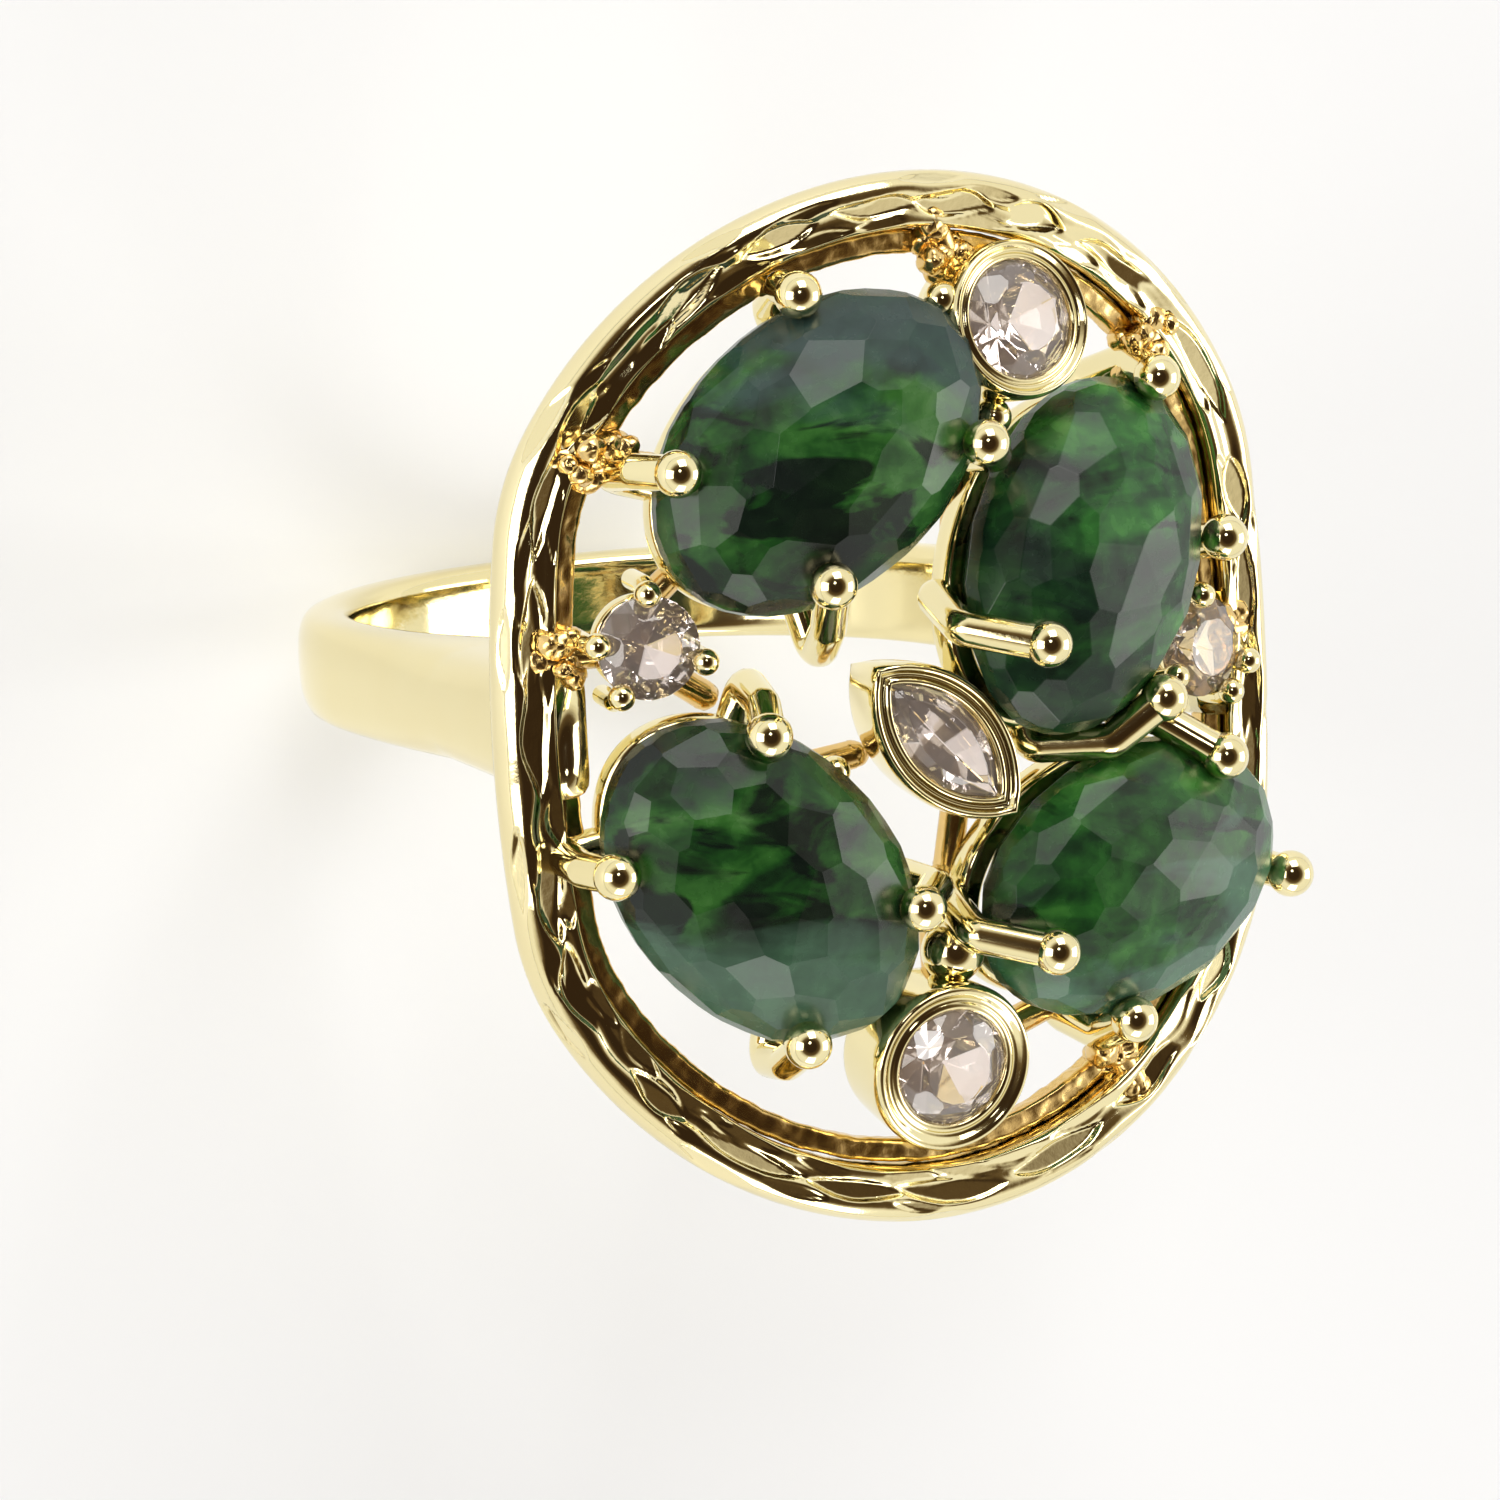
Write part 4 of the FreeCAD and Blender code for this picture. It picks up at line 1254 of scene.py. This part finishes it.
def make_rail_tree():
    """Rounded strip of given width and height along a closed route."""
    tree, values = new_shape_tree("rail_strip", "Rail", "Route", {
        "Width": 0.0007, "Height": 0.0006, "Rounding": 0.0002, "Cast Depth": 0.0})
    route, width, height, rounding, depth, metal = values
    curve = tree.node("GeometryNodeMeshToCurve", {}, {"Mesh": route})
    level = tree.node("GeometryNodeSetCurveNormal", {"mode": "Z_UP"}, {"Curve": curve})
    strip = tree.node("GeometryNodeCurvePrimitiveQuadrilateral", {}, {
        "Width": width, "Height": height})
    soft = tree.node("GeometryNodeFilletCurve", {"mode": "POLY"}, {
        "Curve": strip, "Radius": rounding, "Count": 5, "Limit Radius": True})
    fine = tree.node("GeometryNodeResampleCurve", {}, {"Curve": soft, "Count": 30})
    rail = tree.node("GeometryNodeCurveToMesh", {}, {
        "Curve": level, "Profile Curve": fine})
    end_in_metal(tree, rail, depth, metal)
    return tree.tree


def make_rail():
    middle = np.array([[FRAME_WIDTH + RAIL_WIDTH / 2, -RAIL_DROP - RAIL_HEIGHT / 2]])
    line = band_points(outline_stations(RAIL_SPACING), middle)[:, 0, :]
    base = bpy.data.meshes.new("rail_route")
    base.from_pydata([tuple(p * MM) for p in line],
                     [(i, (i + 1) % len(line)) for i in range(len(line))], [])
    # The rail takes the cast gold, whose browner colour is partly painted shade of the gallery's
    # crevices.
    mesh = evaluated_mesh("gallery_rail_strip", base, make_rail_tree(), {
        "Width": RAIL_HEIGHT * MM, "Height": RAIL_WIDTH * MM,
        "Rounding": RAIL_ROUNDING * MM, "Cast Depth": RAIL_CAST_DEPTH * MM,
        "Metal": CAST_GOLD_DIRT_AND_SHADE})
    return finish_piece("gallery_rail_strip", mesh, "cast_gold", ["gallery_rail"])


make_rail()

# %% [markdown]
# ## Studio
# Polished metal shows whatever surrounds it, so the light is the finish.  Large soft
# boxes stand low round the ring and leave the space above it dim: rounded walls pick up
# long pale streaks, and flats that face up turn dark.  The floor is plain and pale.

# %% Floor, soft boxes and surroundings
DIM_DIRECTION = (-0.25, 0.09, 0.964)
FLOOR_HALF = 0.6
# soft boxes: place and size in metres, power in watts, and tint
SOFT_BOXES = {
    "left_box": ((-0.30, 0.03, 0.13), 0.20, 0.46, (1.0, 0.98, 0.95)),
    "right_box": ((0.30, -0.03, 0.16), 0.18, 0.36, (1.0, 0.98, 0.95)),
    "far_box": ((0.02, 0.30, 0.20), 0.20, 0.50, (1.0, 0.99, 0.97)),
    "near_box": ((-0.03, -0.30, 0.14), 0.18, 0.34, (1.0, 0.98, 0.95)),
    "glint_lamp": ((-0.10, 0.12, 0.30), 0.05, 0.05, (1.0, 1.0, 1.0)),
}


def floor_finish():
    material, tree = new_material("pale_floor")
    tone = mix_colour(tree, noise(tree, own_place(tree), 30.0), (0.90, 0.92, 0.96, 1.0),
                      (0.88, 0.90, 0.94, 1.0))
    end_in_principled(tree, {"Base Color": tone, "Roughness": 0.7})
    return material


def make_floor():
    half, level = FLOOR_HALF, CAD_BOX[0][2]
    mesh = bpy.data.meshes.new("floor")
    mesh.from_pydata([(-half, -half, level), (half, -half, level), (half, half, level),
                      (-half, half, level)], [], [(0, 1, 2, 3)])
    mesh.materials.append(floor_finish())
    floor = bpy.data.objects.new("floor", mesh)
    bpy.context.scene.collection.objects.link(floor)


def make_soft_box(name, place, size, power, tint):
    data = bpy.data.lights.new(name, "AREA")
    data.shape, data.size, data.energy, data.color = "SQUARE", size, power, tint
    light = bpy.data.objects.new(name, data)
    bpy.context.scene.collection.objects.link(light)
    back = np.array(place) / np.linalg.norm(place)
    side = np.cross((0, 0, 1), back)
    side /= np.linalg.norm(side)
    matrix = np.eye(4)
    matrix[:3, 0], matrix[:3, 1], matrix[:3, 2] = side, np.cross(back, side), back
    matrix[:3, 3] = place
    light.matrix_world = Matrix(matrix.tolist())


def make_surroundings():
    """Pale surroundings that turn dark round one direction overhead."""
    world = bpy.data.worlds.new("studio")
    world.use_nodes = True
    world.node_tree.nodes.clear()
    tree = Tree(world.node_tree)
    direction = tree.node("ShaderNodeTexCoord", output="Generated")
    towards = tree.node("ShaderNodeVectorMath", {"operation": "DOT_PRODUCT"},
                        {0: direction, 1: DIM_DIRECTION}, output="Value")
    tone = colour_ramp(tree, towards, [
        (0.00, (0.95, 0.94, 0.90)), (0.48, (1.00, 0.98, 0.93)), (0.60, (0.72, 0.66, 0.55)),
        (0.72, (0.13, 0.085, 0.04)), (0.90, (0.035, 0.02, 0.01))])
    shade = tree.node("ShaderNodeBackground", {}, {"Color": tone, "Strength": 1.0})
    tree.node("ShaderNodeOutputWorld", {}, {"Surface": shade})
    bpy.context.scene.world = world


make_floor()
for box_name, box_settings in SOFT_BOXES.items():
    make_soft_box(box_name, *box_settings)
make_surroundings()
bpy.context.scene.view_settings.view_transform = "Standard"
